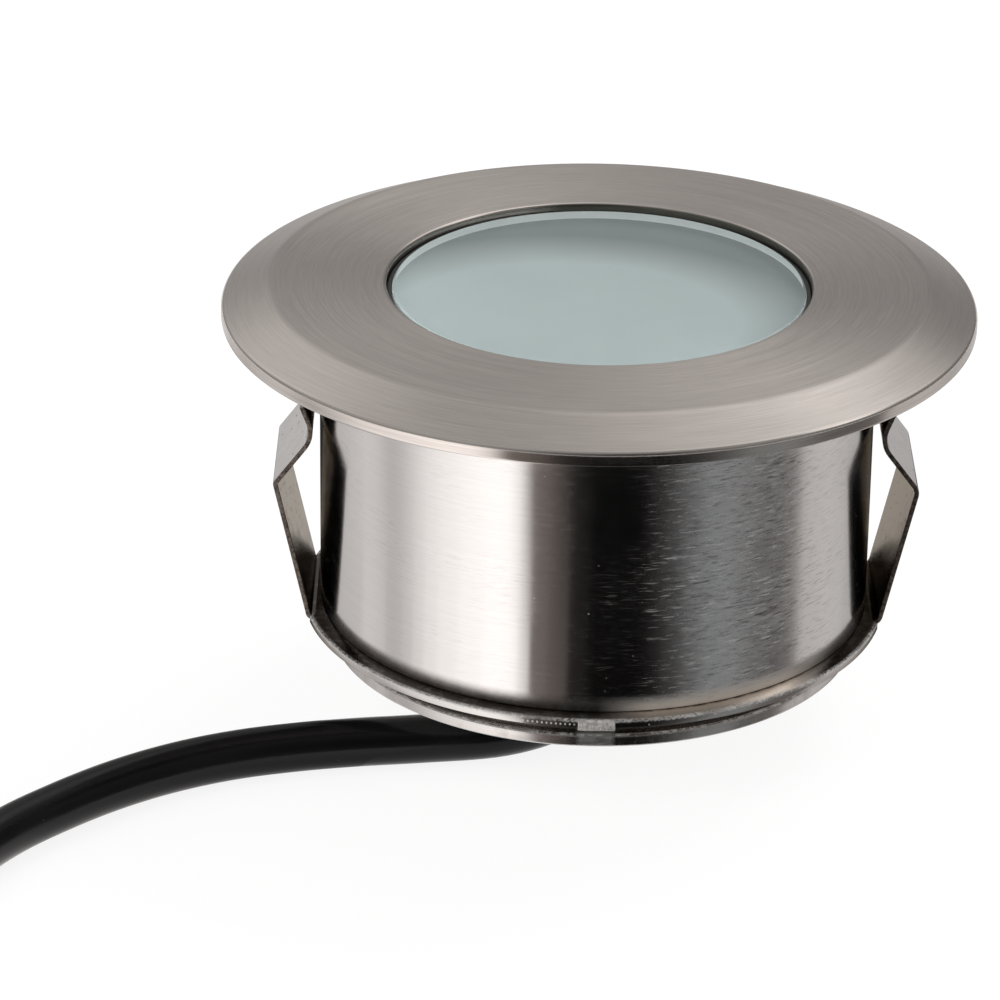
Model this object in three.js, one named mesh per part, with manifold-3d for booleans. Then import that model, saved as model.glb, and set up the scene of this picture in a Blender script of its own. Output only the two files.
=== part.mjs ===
// In-ground spotlight, in millimetres, +Z up, standing on z = 0 with its lens up and its clips on the X axis.
// A turned trim ring closes a drawn can. Below the can sit a pressed spring plate, a turned base disc and
// the low rubber boot of the flex, on which the lamp stands. The boards hang inside on an aluminium cup.
import * as THREE from "three";
import { mergeVertices } from "three/addons/utils/BufferGeometryUtils.js";
import Module from "manifold-3d";

const wasm = await Module();
wasm.setup();

// Clearances
const seatGap = 0.1;
const fitGap = 0.15;
const sealGap = 0.05;
const flexGap = 0.3;
const overrun = 2;

// Boot of the flex, its stem, nut and washer
const bootHeight = 5.5;
const bootRadius = 6.8;
const bootEdge = 0.6;
const stemRadius = 4;
const stemProud = 0.5;
const spoutHeight = 2.6;
const spoutRadius = 2.45;
const spoutFlare = 0.4;
const spoutLength = 6;
const nutFlats = 13;
const nutThickness = 2.2;
const washerRadius = 7.4;
const washerThickness = 0.5;

// Base disc
const baseRadius = 21.3;
const baseEdge = 0.15;
const ringHeight = 1.15;
const grooveHeight = 1.15;
const grooveDepth = 0.8;
const shoulderHeight = 0.75;
const bossMargin = 1.4;
const footWidth = 2.6;
const recessDepth = 0.6;

// Spring plate and clips
const sheet = 0.38;
const lipWidth = 1.37;
const lugWidth = 2.9;
const lugDrop = 0.55;
const lugAzimuth = THREE.MathUtils.degToRad(-90);
const clipWidth = 11.2;
const clipStandoff = 0.9;
const rootLength = 1.4;
const rootBend = 0.6;
const legLength = 12.3;
const legLean = THREE.MathUtils.degToRad(12.7);
const headLength = 5.15;
const headGap = 0.1;
const headBend = 0.9;
const tailLength = 2.6;
const tailLean = THREE.MathUtils.degToRad(21);
const foldGap = 0.1;

// Can
const canRadius = 22.2;
const canHeight = 24.42;
const canWall = 0.8;
const canFloor = 0.9;
const canCorner = 1.5;

// Trim ring, glass and seals
const flangeRadius = 30;
const flangeThickness = 2.75;
const bevelWidth = 3.75;
const bevelDrop = 1.65;
const rimEdge = 0.12;
const rebateDepth = 0.3;
const boreRadius = 16.9;
const boreEdge = 0.08;
const ledgeWidth = 2;
const neckDepth = 3.4;
const neckChamfer = 0.3;
const sealWidth = 1.4;
const sealDepth = 1;
const sealDrop = 0.9;
const glassRecess = 0.43;
const glassThickness = 2.2;
const glassEdge = 0.15;
const gasketThickness = 0.4;
const gasketUpstand = 0.45;
const gasketDrop = 0.25;

// Reflector, LED board and heat spreader
const reflectorHeight = 5;
const reflectorLip = 0.5;
const reflectorTaper = 2;
const ledBoardThickness = 1;
const ledCount = 6;
const ledSize = 3;
const ledHeight = 0.55;
const ledDomeRadius = 1.15;
const ledDomeHeight = 0.2;
const ledCircle = 6;
const ledScrewCircle = 10;
const spreaderPlate = 2;
const spreaderWall = 1;
const wireHoleRadius = 2.2;

// Screws
const screwHeadRadius = 1.6;
const screwHeadHeight = 0.9;
const screwRadius = 0.8;
const screwBite = 1.5;
const screwSlack = 0.2;

// Driver board and what is soldered to it
const driverRadius = 15.5;
const driverThickness = 1.2;
const postCircle = 12.5;
const postRadius = 1.9;
const postLength = 4;
const postCount = 3;
const capacitorRadius = 2.5;
const capacitorHeight = 4.4;
const capacitorCrimp = 0.25;
const inductorRadius = 2.9;
const inductorHeight = 3.6;
const inductorWaist = 0.7;
const inductorFlange = 0.8;
const rectifierSize = { width: 6, depth: 4.2, height: 2.3, corner: 0.5 };
const driverChipSize = { width: 4.9, depth: 3.9, height: 1.5, corner: 0.3 };
const terminalSize = { width: 8, depth: 6, height: 4.5, corner: 0.4 };
const terminalHoleRadius = 0.95;
const terminalHoleDepth = 1.6;
const capacitorShares = [0.36, 0.42];
const inductorShares = [-0.36, 0.42];
const rectifierShares = [0.6, -0.22];
const driverChipShares = [-0.6, -0.2];
const terminalShares = [0, -0.48];
const terminalEntryShare = 0.45;

// Wires and cores inside
const wireRadius = 0.45;
const coreRadius = 0.6;
const wireSpread = 1;
const coreSpread = 1.6;
const wireRise = 1.8;
const wireReach = 2.6;

// Flex, its coil, tie and plug. The route lies on the standing surface, each point as [x, y, z].
const flexRadius = 1.95;
const flexSides = 8;
const flexSteps = 28;
const flexRoute = [
  [-1.37, -8.35, 2.6], [-3.95, -10.85, 2.45], [-7.5, -12.3, 2.15], [-14.2, -13.3, 2], [-19, -14, 2],
  [-23.8, -15, 2], [-28.4, -16.4, 2], [-33, -18.6, 2], [-37.5, -21.7, 2], [-41.7, -25.6, 2],
  [-45.2, -29.6, 2], [-48.6, -35.4, 2], [-52, -44.2, 2], [-56.8, -51.4, 2], [-62.8, -56.8, 2.1],
  [-69.6, -60.6, 2.4], [-74.6, -62.3, 2.65], [-77.8, -62.5, 2.7],
];
const coilCentre = [-82, -34];
const coilOuter = 28.5;
const coilPitch = 4.4;
const coilTurns = 6.25;
const coilTurnback = 3.25;
const coilLoopSteps = 24;
const coilSides = 6;
const coilTail = 11.2;
const tieAngle = THREE.MathUtils.degToRad(60);
const tieWidth = 3;
const tieThickness = 0.45;
const tieCorner = 1.2;
const tieHead = { width: 4.4, depth: 3.6, height: 2.2 };
const plugReliefLength = 10;
const plugReliefRadii = [2.9, 3.4];
const plugBodyRadius = 6.2;
const plugBodyLength = 17;
const plugEdge = 0.8;
const plugFaceRadius = 5;
const plugFaceLength = 5;
const collarRadius = 6.95;
const collarLength = 7;
const collarRibs = 20;
const collarRibDepth = 0.45;
const pinRadius = 0.8;
const pinLength = 6;
const pinSpacing = 4.4;
const pinTip = 0.3;

// Facets
const ringSegments = 64;
const mediumSegments = 32;
const smallSegments = 16;
const cornerSteps = 3;

// Levels, from the standing surface up
const baseBottom = bootHeight + seatGap;
const ringTop = baseBottom + ringHeight;
const grooveTop = ringTop + grooveHeight;
const baseTop = grooveTop + shoulderHeight;
const plateBottom = baseTop + seatGap;
const plateTop = plateBottom + sheet;
const canBottom = plateTop + seatGap;
const floorTop = canBottom + canFloor;
const canTop = canBottom + canHeight;
const flangeBottom = canTop + seatGap - rebateDepth;
const faceTop = flangeBottom + flangeThickness;
const glassTop = faceTop - glassRecess;
const glassBottom = glassTop - glassThickness;
const ledgeTop = glassBottom - gasketThickness;
const reflectorTop = glassBottom - seatGap;
const reflectorBottom = reflectorTop - reflectorHeight;
const ledBoardTop = reflectorBottom - seatGap;
const ledBoardBottom = ledBoardTop - ledBoardThickness;
const spreaderTop = ledBoardBottom - seatGap;
const spreaderUnder = spreaderTop - spreaderPlate;
const driverTop = spreaderUnder - postLength - seatGap;
const driverUnder = driverTop - driverThickness;
const washerBottom = floorTop + seatGap;
const nutBottom = washerBottom + washerThickness + seatGap;
const stemTop = nutBottom + nutThickness + stemProud;

// Radii that follow from the ones above
const canInner = canRadius - canWall;
const neckRadius = canInner - fitGap;
const rebateRadius = canRadius + fitGap;
const ledgeRadius = boreRadius - ledgeWidth;
const glassRadius = boreRadius - gasketUpstand;
const reflectorRadius = ledgeRadius - fitGap;
const entryRadius = stemRadius + fitGap;
const lipRadius = canRadius + lipWidth;
const screwHole = screwRadius + screwSlack;

const steel = { color: 0xb3aca6, roughness: 0.32, metalness: 1 };
const polished = { color: 0xc4c0bc, roughness: 0.16, metalness: 1 };
const spring = { color: 0xaaa6a2, roughness: 0.28, metalness: 1 };
const aluminium = { color: 0xc9ccd0, roughness: 0.45, metalness: 1 };
const brass = { color: 0xb9964f, roughness: 0.35, metalness: 1 };
const rubber = { color: 0x161616, roughness: 0.5, metalness: 0 };
const frosted = { color: 0xb4c6c0, roughness: 0.55, metalness: 0 };
const white = { color: 0xf0f0ec, roughness: 0.5, metalness: 0 };
const green = { color: 0x1f5a35, roughness: 0.5, metalness: 0 };
const dark = { color: 0x202124, roughness: 0.45, metalness: 0 };
const phosphor = { color: 0xf2d35a, roughness: 0.4, metalness: 0 };
const ferrite = { color: 0x3a3836, roughness: 0.8, metalness: 0 };
const brown = { color: 0x5c3218, roughness: 0.5, metalness: 0 };
const blue = { color: 0x1d4f9c, roughness: 0.5, metalness: 0 };
const red = { color: 0xa81f1c, roughness: 0.5, metalness: 0 };

const lamp = new THREE.Group();

// Adds a named mesh of a closed geometry to the lamp.
function piece(name, geometry, look) {
  const mesh = new THREE.Mesh(geometry, new THREE.MeshStandardMaterial(look));
  mesh.name = name;
  lamp.add(mesh);
}

// Merges a geometry's shared vertices, keeps only positions and drops triangles without area.
function closed(geometry) {
  const bare = geometry.index ? geometry.toNonIndexed() : geometry;
  bare.deleteAttribute("normal");
  bare.deleteAttribute("uv");
  const merged = mergeVertices(bare);
  const corners = Array.from(merged.index.array);
  const kept = [];
  for (let i = 0; i < corners.length; i += 3) {
    const [a, b, c] = corners.slice(i, i + 3);
    if (a !== b && b !== c && c !== a) {
      kept.push(a, b, c);
    }
  }
  merged.setIndex(kept);
  return merged;
}

function solidOf(geometry) {
  const mesh = closed(geometry);
  const vertProperties = new Float32Array(mesh.attributes.position.array);
  const triVerts = new Uint32Array(mesh.index.array);
  return new wasm.Manifold(new wasm.Mesh({ numProp: 3, vertProperties, triVerts }));
}

function geometryOf(solid) {
  const { vertProperties, triVerts } = solid.getMesh();
  const geometry = new THREE.BufferGeometry();
  geometry.setAttribute("position", new THREE.BufferAttribute(vertProperties, 3));
  geometry.setIndex(new THREE.BufferAttribute(triVerts, 1));
  return geometry;
}

function join(first, ...others) {
  return geometryOf(others.reduce((sum, other) => sum.add(solidOf(other)), solidOf(first)));
}

function cut(first, ...tools) {
  return geometryOf(tools.reduce((rest, tool) => rest.subtract(solidOf(tool)), solidOf(first)));
}

// Turns a closed outline of [radius, height] points round the Z axis.
function turned(outline, segments = ringSegments) {
  const points = outline.map(([radius, height]) => new THREE.Vector2(radius, height));
  if (THREE.ShapeUtils.area(points) < 0) {
    points.reverse();
  }
  points.push(points[0].clone());
  return closed(new THREE.LatheGeometry(points, segments).rotateX(Math.PI / 2));
}

// Corner of an outline as a quarter arc, from one [radius, height] point to another round a centre.
function arc(centre, radius, from, to, steps = cornerSteps) {
  return Array.from({ length: steps + 1 }, (_, i) => {
    const angle = from + ((to - from) * i) / steps;
    return [centre[0] + radius * Math.cos(angle), centre[1] + radius * Math.sin(angle)];
  });
}

function rod(radius, bottom, top, x = 0, y = 0, segments = smallSegments) {
  return turned([[0, bottom], [radius, bottom], [radius, top], [0, top]], segments).translate(x, y, 0);
}

// Block with chamfered upright corners, standing on a height and centred on a place.
function block({ width, depth, height, corner }, x, y, bottom) {
  const w = width / 2;
  const d = depth / 2;
  const shape = new THREE.Shape([
    [-w + corner, -d], [w - corner, -d], [w, -d + corner], [w, d - corner],
    [w - corner, d], [-w + corner, d], [-w, d - corner], [-w, -d + corner],
  ].map(([px, py]) => new THREE.Vector2(px, py)));
  return closed(new THREE.ExtrudeGeometry(shape, { depth: height, bevelEnabled: false })).translate(x, y, bottom);
}

// Places round the Z axis, evenly spaced.
function around(count, radius, first = 0) {
  return Array.from({ length: count }, (_, i) => {
    const angle = first + (2 * Math.PI * i) / count;
    return { x: radius * Math.cos(angle), y: radius * Math.sin(angle), angle };
  });
}

// Tube of an even-sided section along points, carried without twist, with flat ends square to its path.
function tube(points, radius, sides) {
  const last = points.length - 1;
  const heading = (i) => new THREE.Vector3()
    .subVectors(points[Math.min(i + 1, last)], points[Math.max(i - 1, 0)])
    .normalize();
  const across = new THREE.Vector3(0, 0, 1);
  if (Math.abs(heading(0).z) > Math.SQRT1_2) {
    across.set(1, 0, 0);
  }
  const places = [];
  for (let i = 0; i <= last; i += 1) {
    const forward = heading(i);
    across.addScaledVector(forward, -across.dot(forward)).normalize();
    const side = new THREE.Vector3().crossVectors(forward, across);
    for (let j = 0; j < sides; j += 1) {
      const angle = (2 * Math.PI * (j + 1 / 2)) / sides;
      const place = points[i].clone();
      place.addScaledVector(across, radius * Math.cos(angle));
      place.addScaledVector(side, radius * Math.sin(angle));
      places.push(...place.toArray());
    }
  }
  const corners = [];
  for (let i = 0; i < last; i += 1) {
    for (let j = 0; j < sides; j += 1) {
      const a = i * sides + j;
      const b = i * sides + ((j + 1) % sides);
      corners.push(a, b, a + sides, b, b + sides, a + sides);
    }
  }
  for (let j = 1; j < sides - 1; j += 1) {
    corners.push(0, j + 1, j, last * sides, last * sides + j, last * sides + j + 1);
  }
  const geometry = new THREE.BufferGeometry();
  geometry.setAttribute("position", new THREE.Float32BufferAttribute(places, 3));
  geometry.setIndex(corners);
  return geometry;
}

// Round wire along a smooth curve through places, with ends square to it.
function wire(places, radius, sides, steps) {
  const points = places.map((place) => new THREE.Vector3(...place));
  const extrudePath = new THREE.CatmullRomCurve3(points, false, "centripetal");
  const rim = around(sides, radius, Math.PI / sides).map(({ x, y }) => new THREE.Vector2(x, y));
  const settings = { steps, extrudePath, bevelEnabled: false };
  return closed(new THREE.ExtrudeGeometry(new THREE.Shape(rim), settings));
}

// Trim ring: flat, bevel and rim outside, a bore with a ledge for the glass, a neck with a seal groove, and
// a rebate that takes the can's edge.
function trimRing() {
  const neckBottom = flangeBottom - neckDepth;
  const sealTop = flangeBottom - sealDrop;
  return turned([
    [ledgeRadius, neckBottom],
    [neckRadius - neckChamfer, neckBottom],
    [neckRadius, neckBottom + neckChamfer],
    [neckRadius, sealTop - sealWidth],
    [neckRadius - sealDepth, sealTop - sealWidth],
    [neckRadius - sealDepth, sealTop],
    [neckRadius, sealTop],
    [neckRadius, flangeBottom + rebateDepth],
    [rebateRadius, flangeBottom + rebateDepth],
    [rebateRadius, flangeBottom],
    [flangeRadius - rimEdge, flangeBottom],
    [flangeRadius, flangeBottom + rimEdge],
    [flangeRadius, faceTop - bevelDrop],
    [flangeRadius - bevelWidth, faceTop],
    [boreRadius + boreEdge, faceTop],
    [boreRadius, faceTop - boreEdge],
    [boreRadius, ledgeTop],
    [ledgeRadius, ledgeTop],
  ]);
}

function neckSeal() {
  const inner = neckRadius - sealDepth + sealGap;
  const section = (canInner - sealGap - inner) / 2;
  const middle = flangeBottom - sealDrop - sealWidth / 2;
  const outline = arc([inner + section, middle], section, 0, 2 * Math.PI, 2 * cornerSteps);
  return turned(outline.slice(1));
}

function glassDisc() {
  return turned([
    [0, glassBottom], [glassRadius, glassBottom], [glassRadius, glassTop - glassEdge],
    [glassRadius - glassEdge, glassTop], [0, glassTop],
  ]);
}

// Gasket: a flat ring under the glass and an upstand round it.
function glassGasket() {
  const low = ledgeTop + sealGap;
  const seat = glassBottom - sealGap;
  return turned([
    [ledgeRadius + fitGap, low], [boreRadius - sealGap, low], [boreRadius - sealGap, glassTop - gasketDrop],
    [glassRadius + sealGap, glassTop - gasketDrop], [glassRadius + sealGap, seat], [ledgeRadius + fitGap, seat],
  ]);
}

// Can: a drawn cup with a rounded bottom corner and a hole in its floor for the stem.
function housingCan() {
  return turned([
    [entryRadius, canBottom],
    ...arc([canRadius - canCorner, canBottom + canCorner], canCorner, -Math.PI / 2, 0),
    [canRadius, canTop],
    [canInner, canTop],
    [canInner, floorTop],
    [entryRadius, floorTop],
  ]);
}

// Base disc: the small bottom ring, the groove and the shoulder, with a recess underneath.
function baseDisc() {
  const boss = bootRadius + bossMargin;
  const foot = baseRadius - footWidth;
  return turned([
    [entryRadius, baseBottom],
    [boss, baseBottom],
    [boss, baseBottom + recessDepth],
    [foot, baseBottom + recessDepth],
    [foot, baseBottom],
    [baseRadius - baseEdge, baseBottom],
    [baseRadius, baseBottom + baseEdge],
    [baseRadius, ringTop],
    [baseRadius - grooveDepth, ringTop],
    [baseRadius - grooveDepth, grooveTop],
    [baseRadius, grooveTop],
    [baseRadius, baseTop],
    [entryRadius, baseTop],
  ]);
}

// Rounds one corner of a line of [x, z] points with an arc.
function rounded(line, corner, radius, steps = cornerSteps) {
  const [before, at, after] = [corner - 1, corner, corner + 1].map((i) => new THREE.Vector2(...line[i]));
  const back = before.clone().sub(at).normalize();
  const on = after.clone().sub(at).normalize();
  const half = Math.acos(back.dot(on)) / 2;
  const centre = back.clone().add(on).normalize().multiplyScalar(radius / Math.sin(half)).add(at);
  const start = back.multiplyScalar(radius / Math.tan(half)).add(at).sub(centre);
  const end = on.multiplyScalar(radius / Math.tan(half)).add(at).sub(centre);
  const turn = Math.atan2(start.cross(end), start.dot(end));
  const bend = Array.from({ length: steps + 1 }, (_, i) =>
    start.clone().rotateAround(new THREE.Vector2(), (turn * i) / steps).add(centre).toArray());
  return [...line.slice(0, corner), ...bend, ...line.slice(corner + 1)];
}

// The same line moved to its left by a distance, with mitred corners.
function beside(line, distance) {
  const points = line.map((place) => new THREE.Vector2(...place));
  const left = (i) => {
    const along = points[i + 1].clone().sub(points[i]).normalize();
    return new THREE.Vector2(-along.y, along.x);
  };
  return points.map((point, i) => {
    const first = left(Math.max(i - 1, 0));
    const second = left(Math.min(i, points.length - 2));
    const mitre = first.add(second).normalize();
    return point.clone().addScaledVector(mitre, distance / mitre.dot(second)).toArray();
  });
}

// Sheet strip as wide as a clip, between an outer line of [x, z] points and the inner line beside it.
function strip(outer, inner) {
  const shape = new THREE.Shape([...outer, ...inner.slice().reverse()].map((place) => new THREE.Vector2(...place)));
  const geometry = new THREE.ExtrudeGeometry(shape, { depth: clipWidth, bevelEnabled: false });
  return closed(geometry.rotateX(Math.PI / 2).translate(0, clipWidth / 2, 0));
}

// Lines of one clip on the +X side: the plate corner, the elbow, the inner bend and the tail's end.
function clipLines() {
  const corner = [canRadius + clipStandoff, plateBottom];
  const elbow = [corner[0] + legLength * Math.sin(legLean), corner[1] + legLength * Math.cos(legLean)];
  const bendX = canRadius + headGap + sheet;
  const headLean = Math.asin((elbow[0] - bendX) / headLength);
  const bend = [bendX, elbow[1] + headLength * Math.cos(headLean)];
  const tail = [bend[0] + tailLength * Math.sin(tailLean), bend[1] + tailLength * Math.cos(tailLean)];
  const along = (from, lean, distance) =>
    [from[0] + distance * Math.sin(lean), from[1] + distance * Math.cos(lean)];
  return { corner, elbow, bend, tail, headLean, along };
}

// Root of a clip: the strip runs out of the plate and turns up to the fold where the leg begins.
function clipRoot() {
  const { corner, along } = clipLines();
  const start = [corner[0] - lipWidth - rootBend - sheet, plateBottom];
  const outer = rounded([start, corner, along(corner, legLean, rootLength)], 1, rootBend);
  return strip(outer, beside(outer, sheet));
}

function clipLeg() {
  const { corner, elbow, bend, along } = clipLines();
  const inner = beside([corner, elbow, bend], sheet);
  const start = along(corner, legLean, rootLength + foldGap);
  const startInner = beside([start, elbow], sheet)[0];
  const end = along(elbow, legLean, -foldGap / 2);
  const endInner = along(inner[1], legLean, -foldGap / 2);
  return strip([start, end], [startInner, endInner]);
}

function clipHead() {
  const { corner, elbow, bend, tail, headLean, along } = clipLines();
  const outer = rounded([corner, elbow, bend, tail], 2, headBend);
  const inner = beside(outer, sheet);
  outer[1] = along(elbow, -headLean, foldGap / 2);
  inner[1] = along(inner[1], -headLean, foldGap / 2);
  return strip(outer.slice(1), inner.slice(1));
}

// Spring plate: a ring that shows as the lip, two tabs bent down from it and the two roots of the clips.
function springPlate() {
  const { corner } = clipLines();
  const ring = turned([
    [entryRadius, plateBottom], [lipRadius, plateBottom], [lipRadius, plateTop], [entryRadius, plateTop],
  ]);
  const opening = block({ width: 2 * lipWidth, depth: clipWidth, height: sheet + overrun, corner: 0 },
    corner[0] + lipWidth - rootBend, 0, plateBottom - overrun / 2);
  const lugSize = { width: 2 * sheet, depth: lugWidth, height: sheet + lugDrop, corner: 0 };
  const lug = (azimuth) => block(lugSize, lipRadius - sheet, 0, plateBottom - lugDrop).rotateZ(azimuth);
  const opened = cut(ring, opening.clone(), opening.rotateZ(Math.PI));
  return join(opened, clipRoot(), clipRoot().rotateZ(Math.PI), lug(lugAzimuth), lug(lugAzimuth + Math.PI));
}

// Boot: a low disc with the stem on top and a tapered spout, cut flat where it stands.
function cableBoot() {
  const body = turned([
    [0, 0],
    ...arc([bootRadius - bootEdge, bootEdge], bootEdge, -Math.PI / 2, 0),
    ...arc([bootRadius - bootEdge, bootHeight - bootEdge], bootEdge, 0, Math.PI / 2),
    [stemRadius, bootHeight],
    [stemRadius, stemTop],
    [0, stemTop],
  ], mediumSegments);
  const [exit, next] = flexRoute.map((place) => new THREE.Vector3(...place));
  const heading = next.sub(exit).setZ(0).normalize();
  const azimuth = Math.atan2(heading.y, heading.x);
  const mouth = exit.clone().addScaledVector(heading, -flexGap);
  const profile = turned([[0, -spoutLength], [spoutRadius + spoutFlare, -spoutLength], [spoutRadius, 0], [0, 0]],
    smallSegments);
  const spout = profile.rotateY(Math.PI / 2).rotateZ(azimuth).translate(mouth.x, mouth.y, spoutHeight);
  const width = 4 * bootRadius;
  const ground = block({ width, depth: width, height: overrun, corner: 0 }, 0, 0, -overrun);
  return cut(join(body, spout), ground);
}

function glandNut() {
  const corner = nutFlats / Math.sqrt(3);
  const shape = new THREE.Shape(around(6, corner).map(({ x, y }) => new THREE.Vector2(x, y)));
  shape.holes.push(new THREE.Path().absarc(0, 0, entryRadius, 0, 2 * Math.PI, true));
  const settings = { depth: nutThickness, bevelEnabled: false, curveSegments: smallSegments };
  return closed(new THREE.ExtrudeGeometry(shape, settings)).translate(0, 0, nutBottom);
}

function glandWasher() {
  const top = washerBottom + washerThickness;
  return turned([
    [entryRadius, washerBottom], [washerRadius, washerBottom], [washerRadius, top], [entryRadius, top],
  ], mediumSegments);
}

// Screw with a pan head, pointing down from the face it clamps, or up when turned over.
function screw(face, bite, x, y, up = false) {
  const outline = [
    [0, -bite], [screwRadius, -bite], [screwRadius, seatGap], [screwHeadRadius, seatGap],
    [screwHeadRadius, seatGap + screwHeadHeight / 2], [screwHeadRadius / 2, seatGap + screwHeadHeight],
    [0, seatGap + screwHeadHeight],
  ];
  const geometry = turned(outline, smallSegments);
  if (up) {
    geometry.rotateX(Math.PI);
  }
  return geometry.translate(x, y, face);
}

function ledScrewPlaces() {
  return around(2, ledScrewCircle);
}

function postPlaces() {
  return around(postCount, postCircle, Math.PI / 6);
}

function ledBoard() {
  const disc = turned([
    [wireHoleRadius, ledBoardBottom], [reflectorRadius, ledBoardBottom],
    [reflectorRadius, ledBoardTop], [wireHoleRadius, ledBoardTop],
  ]);
  const holes = ledScrewPlaces().map(({ x, y }) =>
    rod(screwHole, ledBoardBottom - overrun, ledBoardTop + overrun, x, y));
  return cut(disc, ...holes);
}

function ledChip({ x, y, angle }) {
  const bottom = ledBoardTop + seatGap;
  const top = bottom + ledHeight;
  const body = block({ width: ledSize, depth: ledSize, height: ledHeight, corner: ledSize / 8 }, 0, 0, bottom);
  const dome = turned([[0, bottom], [ledDomeRadius, bottom], [ledDomeRadius, top], [0, top + ledDomeHeight]],
    smallSegments);
  return join(body, dome).rotateZ(angle).translate(x, y, 0);
}

function reflectorCup() {
  const foot = reflectorRadius - reflectorLip - reflectorTaper;
  return turned([
    [foot, reflectorBottom], [reflectorRadius, reflectorBottom], [reflectorRadius, reflectorTop],
    [reflectorRadius - reflectorLip, reflectorTop],
  ]);
}

// Heat spreader: an upturned aluminium cup that stands on the can's floor, with posts for the driver board.
function heatSpreader() {
  const skirt = neckRadius - spreaderWall;
  const bottom = floorTop + seatGap;
  const cup = turned([
    [wireHoleRadius, spreaderUnder], [skirt, spreaderUnder], [skirt, bottom], [neckRadius, bottom],
    [neckRadius, spreaderTop], [wireHoleRadius, spreaderTop],
  ]);
  const postBottom = spreaderUnder - postLength;
  const posts = postPlaces().map(({ x, y }) => turned([
    [screwHole, postBottom], [postRadius, postBottom],
    [postRadius, spreaderUnder + spreaderPlate / 2], [screwHole, spreaderUnder + spreaderPlate / 2],
  ], smallSegments).translate(x, y, 0));
  const holes = ledScrewPlaces().map(({ x, y }) =>
    rod(screwHole, spreaderUnder - overrun, spreaderTop + overrun, x, y));
  return cut(join(cup, ...posts), ...holes);
}

function driverBoard() {
  const disc = rod(driverRadius, driverUnder, driverTop, 0, 0, ringSegments);
  const holes = postPlaces().map(({ x, y }) => rod(screwHole, driverUnder - overrun, driverTop + overrun, x, y));
  return cut(disc, ...holes);
}

// Where a component sits on the driver board, from its shares of the board's radius.
function onDriver(shares) {
  return shares.map((share) => share * driverRadius);
}

function underBoard(size, shares) {
  return block(size, ...onDriver(shares), driverUnder - seatGap - size.height);
}

function capacitor() {
  const top = driverUnder - seatGap;
  const bottom = top - capacitorHeight;
  const crimp = top - capacitorHeight / 4;
  const outline = [
    [0, bottom], [capacitorRadius - capacitorCrimp, bottom], [capacitorRadius, bottom + capacitorCrimp],
    [capacitorRadius, crimp - capacitorCrimp], [capacitorRadius - capacitorCrimp, crimp],
    [capacitorRadius, crimp + capacitorCrimp], [capacitorRadius, top], [0, top],
  ];
  return turned(outline, smallSegments).translate(...onDriver(capacitorShares), 0);
}

function inductor() {
  const top = driverUnder - seatGap;
  const bottom = top - inductorHeight;
  const waist = inductorRadius - inductorWaist;
  const outline = [
    [0, bottom], [inductorRadius, bottom], [inductorRadius, bottom + inductorFlange],
    [waist, bottom + inductorFlange], [waist, top - inductorFlange], [inductorRadius, top - inductorFlange],
    [inductorRadius, top], [0, top],
  ];
  return turned(outline, smallSegments).translate(...onDriver(inductorShares), 0);
}

// Where the cores enter the terminal block: the height, and the face that looks at the stem.
function terminalEntry() {
  const bottom = driverUnder - seatGap - terminalSize.height;
  return {
    height: bottom + terminalEntryShare * terminalSize.height,
    face: onDriver(terminalShares)[1] + terminalSize.depth / 2,
  };
}

function terminalBlock() {
  const { height, face } = terminalEntry();
  const holes = [-coreSpread, coreSpread].map((x) =>
    rod(terminalHoleRadius, -terminalHoleDepth, overrun).rotateX(-Math.PI / 2).translate(x, face, height));
  return cut(underBoard(terminalSize, terminalShares), ...holes);
}

// Core of the flex, from the top of the stem round into the terminal block.
function core(side) {
  const { height, face } = terminalEntry();
  const start = stemTop + seatGap;
  const inside = face - terminalHoleDepth + flexGap;
  const places = [
    [side * wireSpread, 0, start],
    [side * wireSpread, 0, start + coreRadius],
    [(side * (wireSpread + coreSpread)) / 2, face / 3, height],
    [side * coreSpread, face, height],
    [side * coreSpread, inside, height],
  ];
  return wire(places, coreRadius, coilSides, smallSegments);
}

// Wire from the driver board up through the spreader and over onto the LED board.
function ledWire(side) {
  const pad = wireSpread + wireReach;
  const places = [
    [side * wireSpread, 0, driverTop + seatGap],
    [side * wireSpread, 0, spreaderTop],
    [side * wireSpread, 0, ledBoardTop + wireRise / 2],
    [side * (wireSpread + wireReach / 2), 0, ledBoardTop + wireRise],
    [side * pad, 0, ledBoardTop + wireRise / 2],
    [side * pad, 0, ledBoardTop + seatGap],
  ];
  return wire(places, wireRadius, coilSides, smallSegments);
}

// Height of the coil's lower layer: the tie passes below it.
const coilLow = flexRadius + tieThickness + flexGap + sealGap;

// Middle of the flex after a number of turns: spiralling in, climbing a layer, and spiralling out again.
function coilPlace(turns) {
  const inward = Math.min(turns, coilTurnback);
  const radius = coilOuter - coilPitch * (2 * inward - turns);
  const climb = THREE.MathUtils.smoothstep(turns, coilTurnback - 1 / 4, coilTurnback + 1 / 4);
  const angle = -Math.PI / 2 - 2 * Math.PI * turns;
  const x = coilCentre[0] + radius * Math.cos(angle);
  const y = coilCentre[1] + radius * Math.sin(angle);
  return new THREE.Vector3(x, y, coilLow + coilPitch * climb);
}

function coilPath() {
  const count = Math.round(coilTurns * coilLoopSteps);
  const turns = Array.from({ length: count + 1 }, (_, i) => coilPlace((coilTurns * i) / count));
  const start = turns[0].clone().add(new THREE.Vector3(2 * flexRadius, 0, 0));
  const end = turns[count].clone().add(new THREE.Vector3(0, coilTail, 0));
  return [start, ...turns, end];
}

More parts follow.
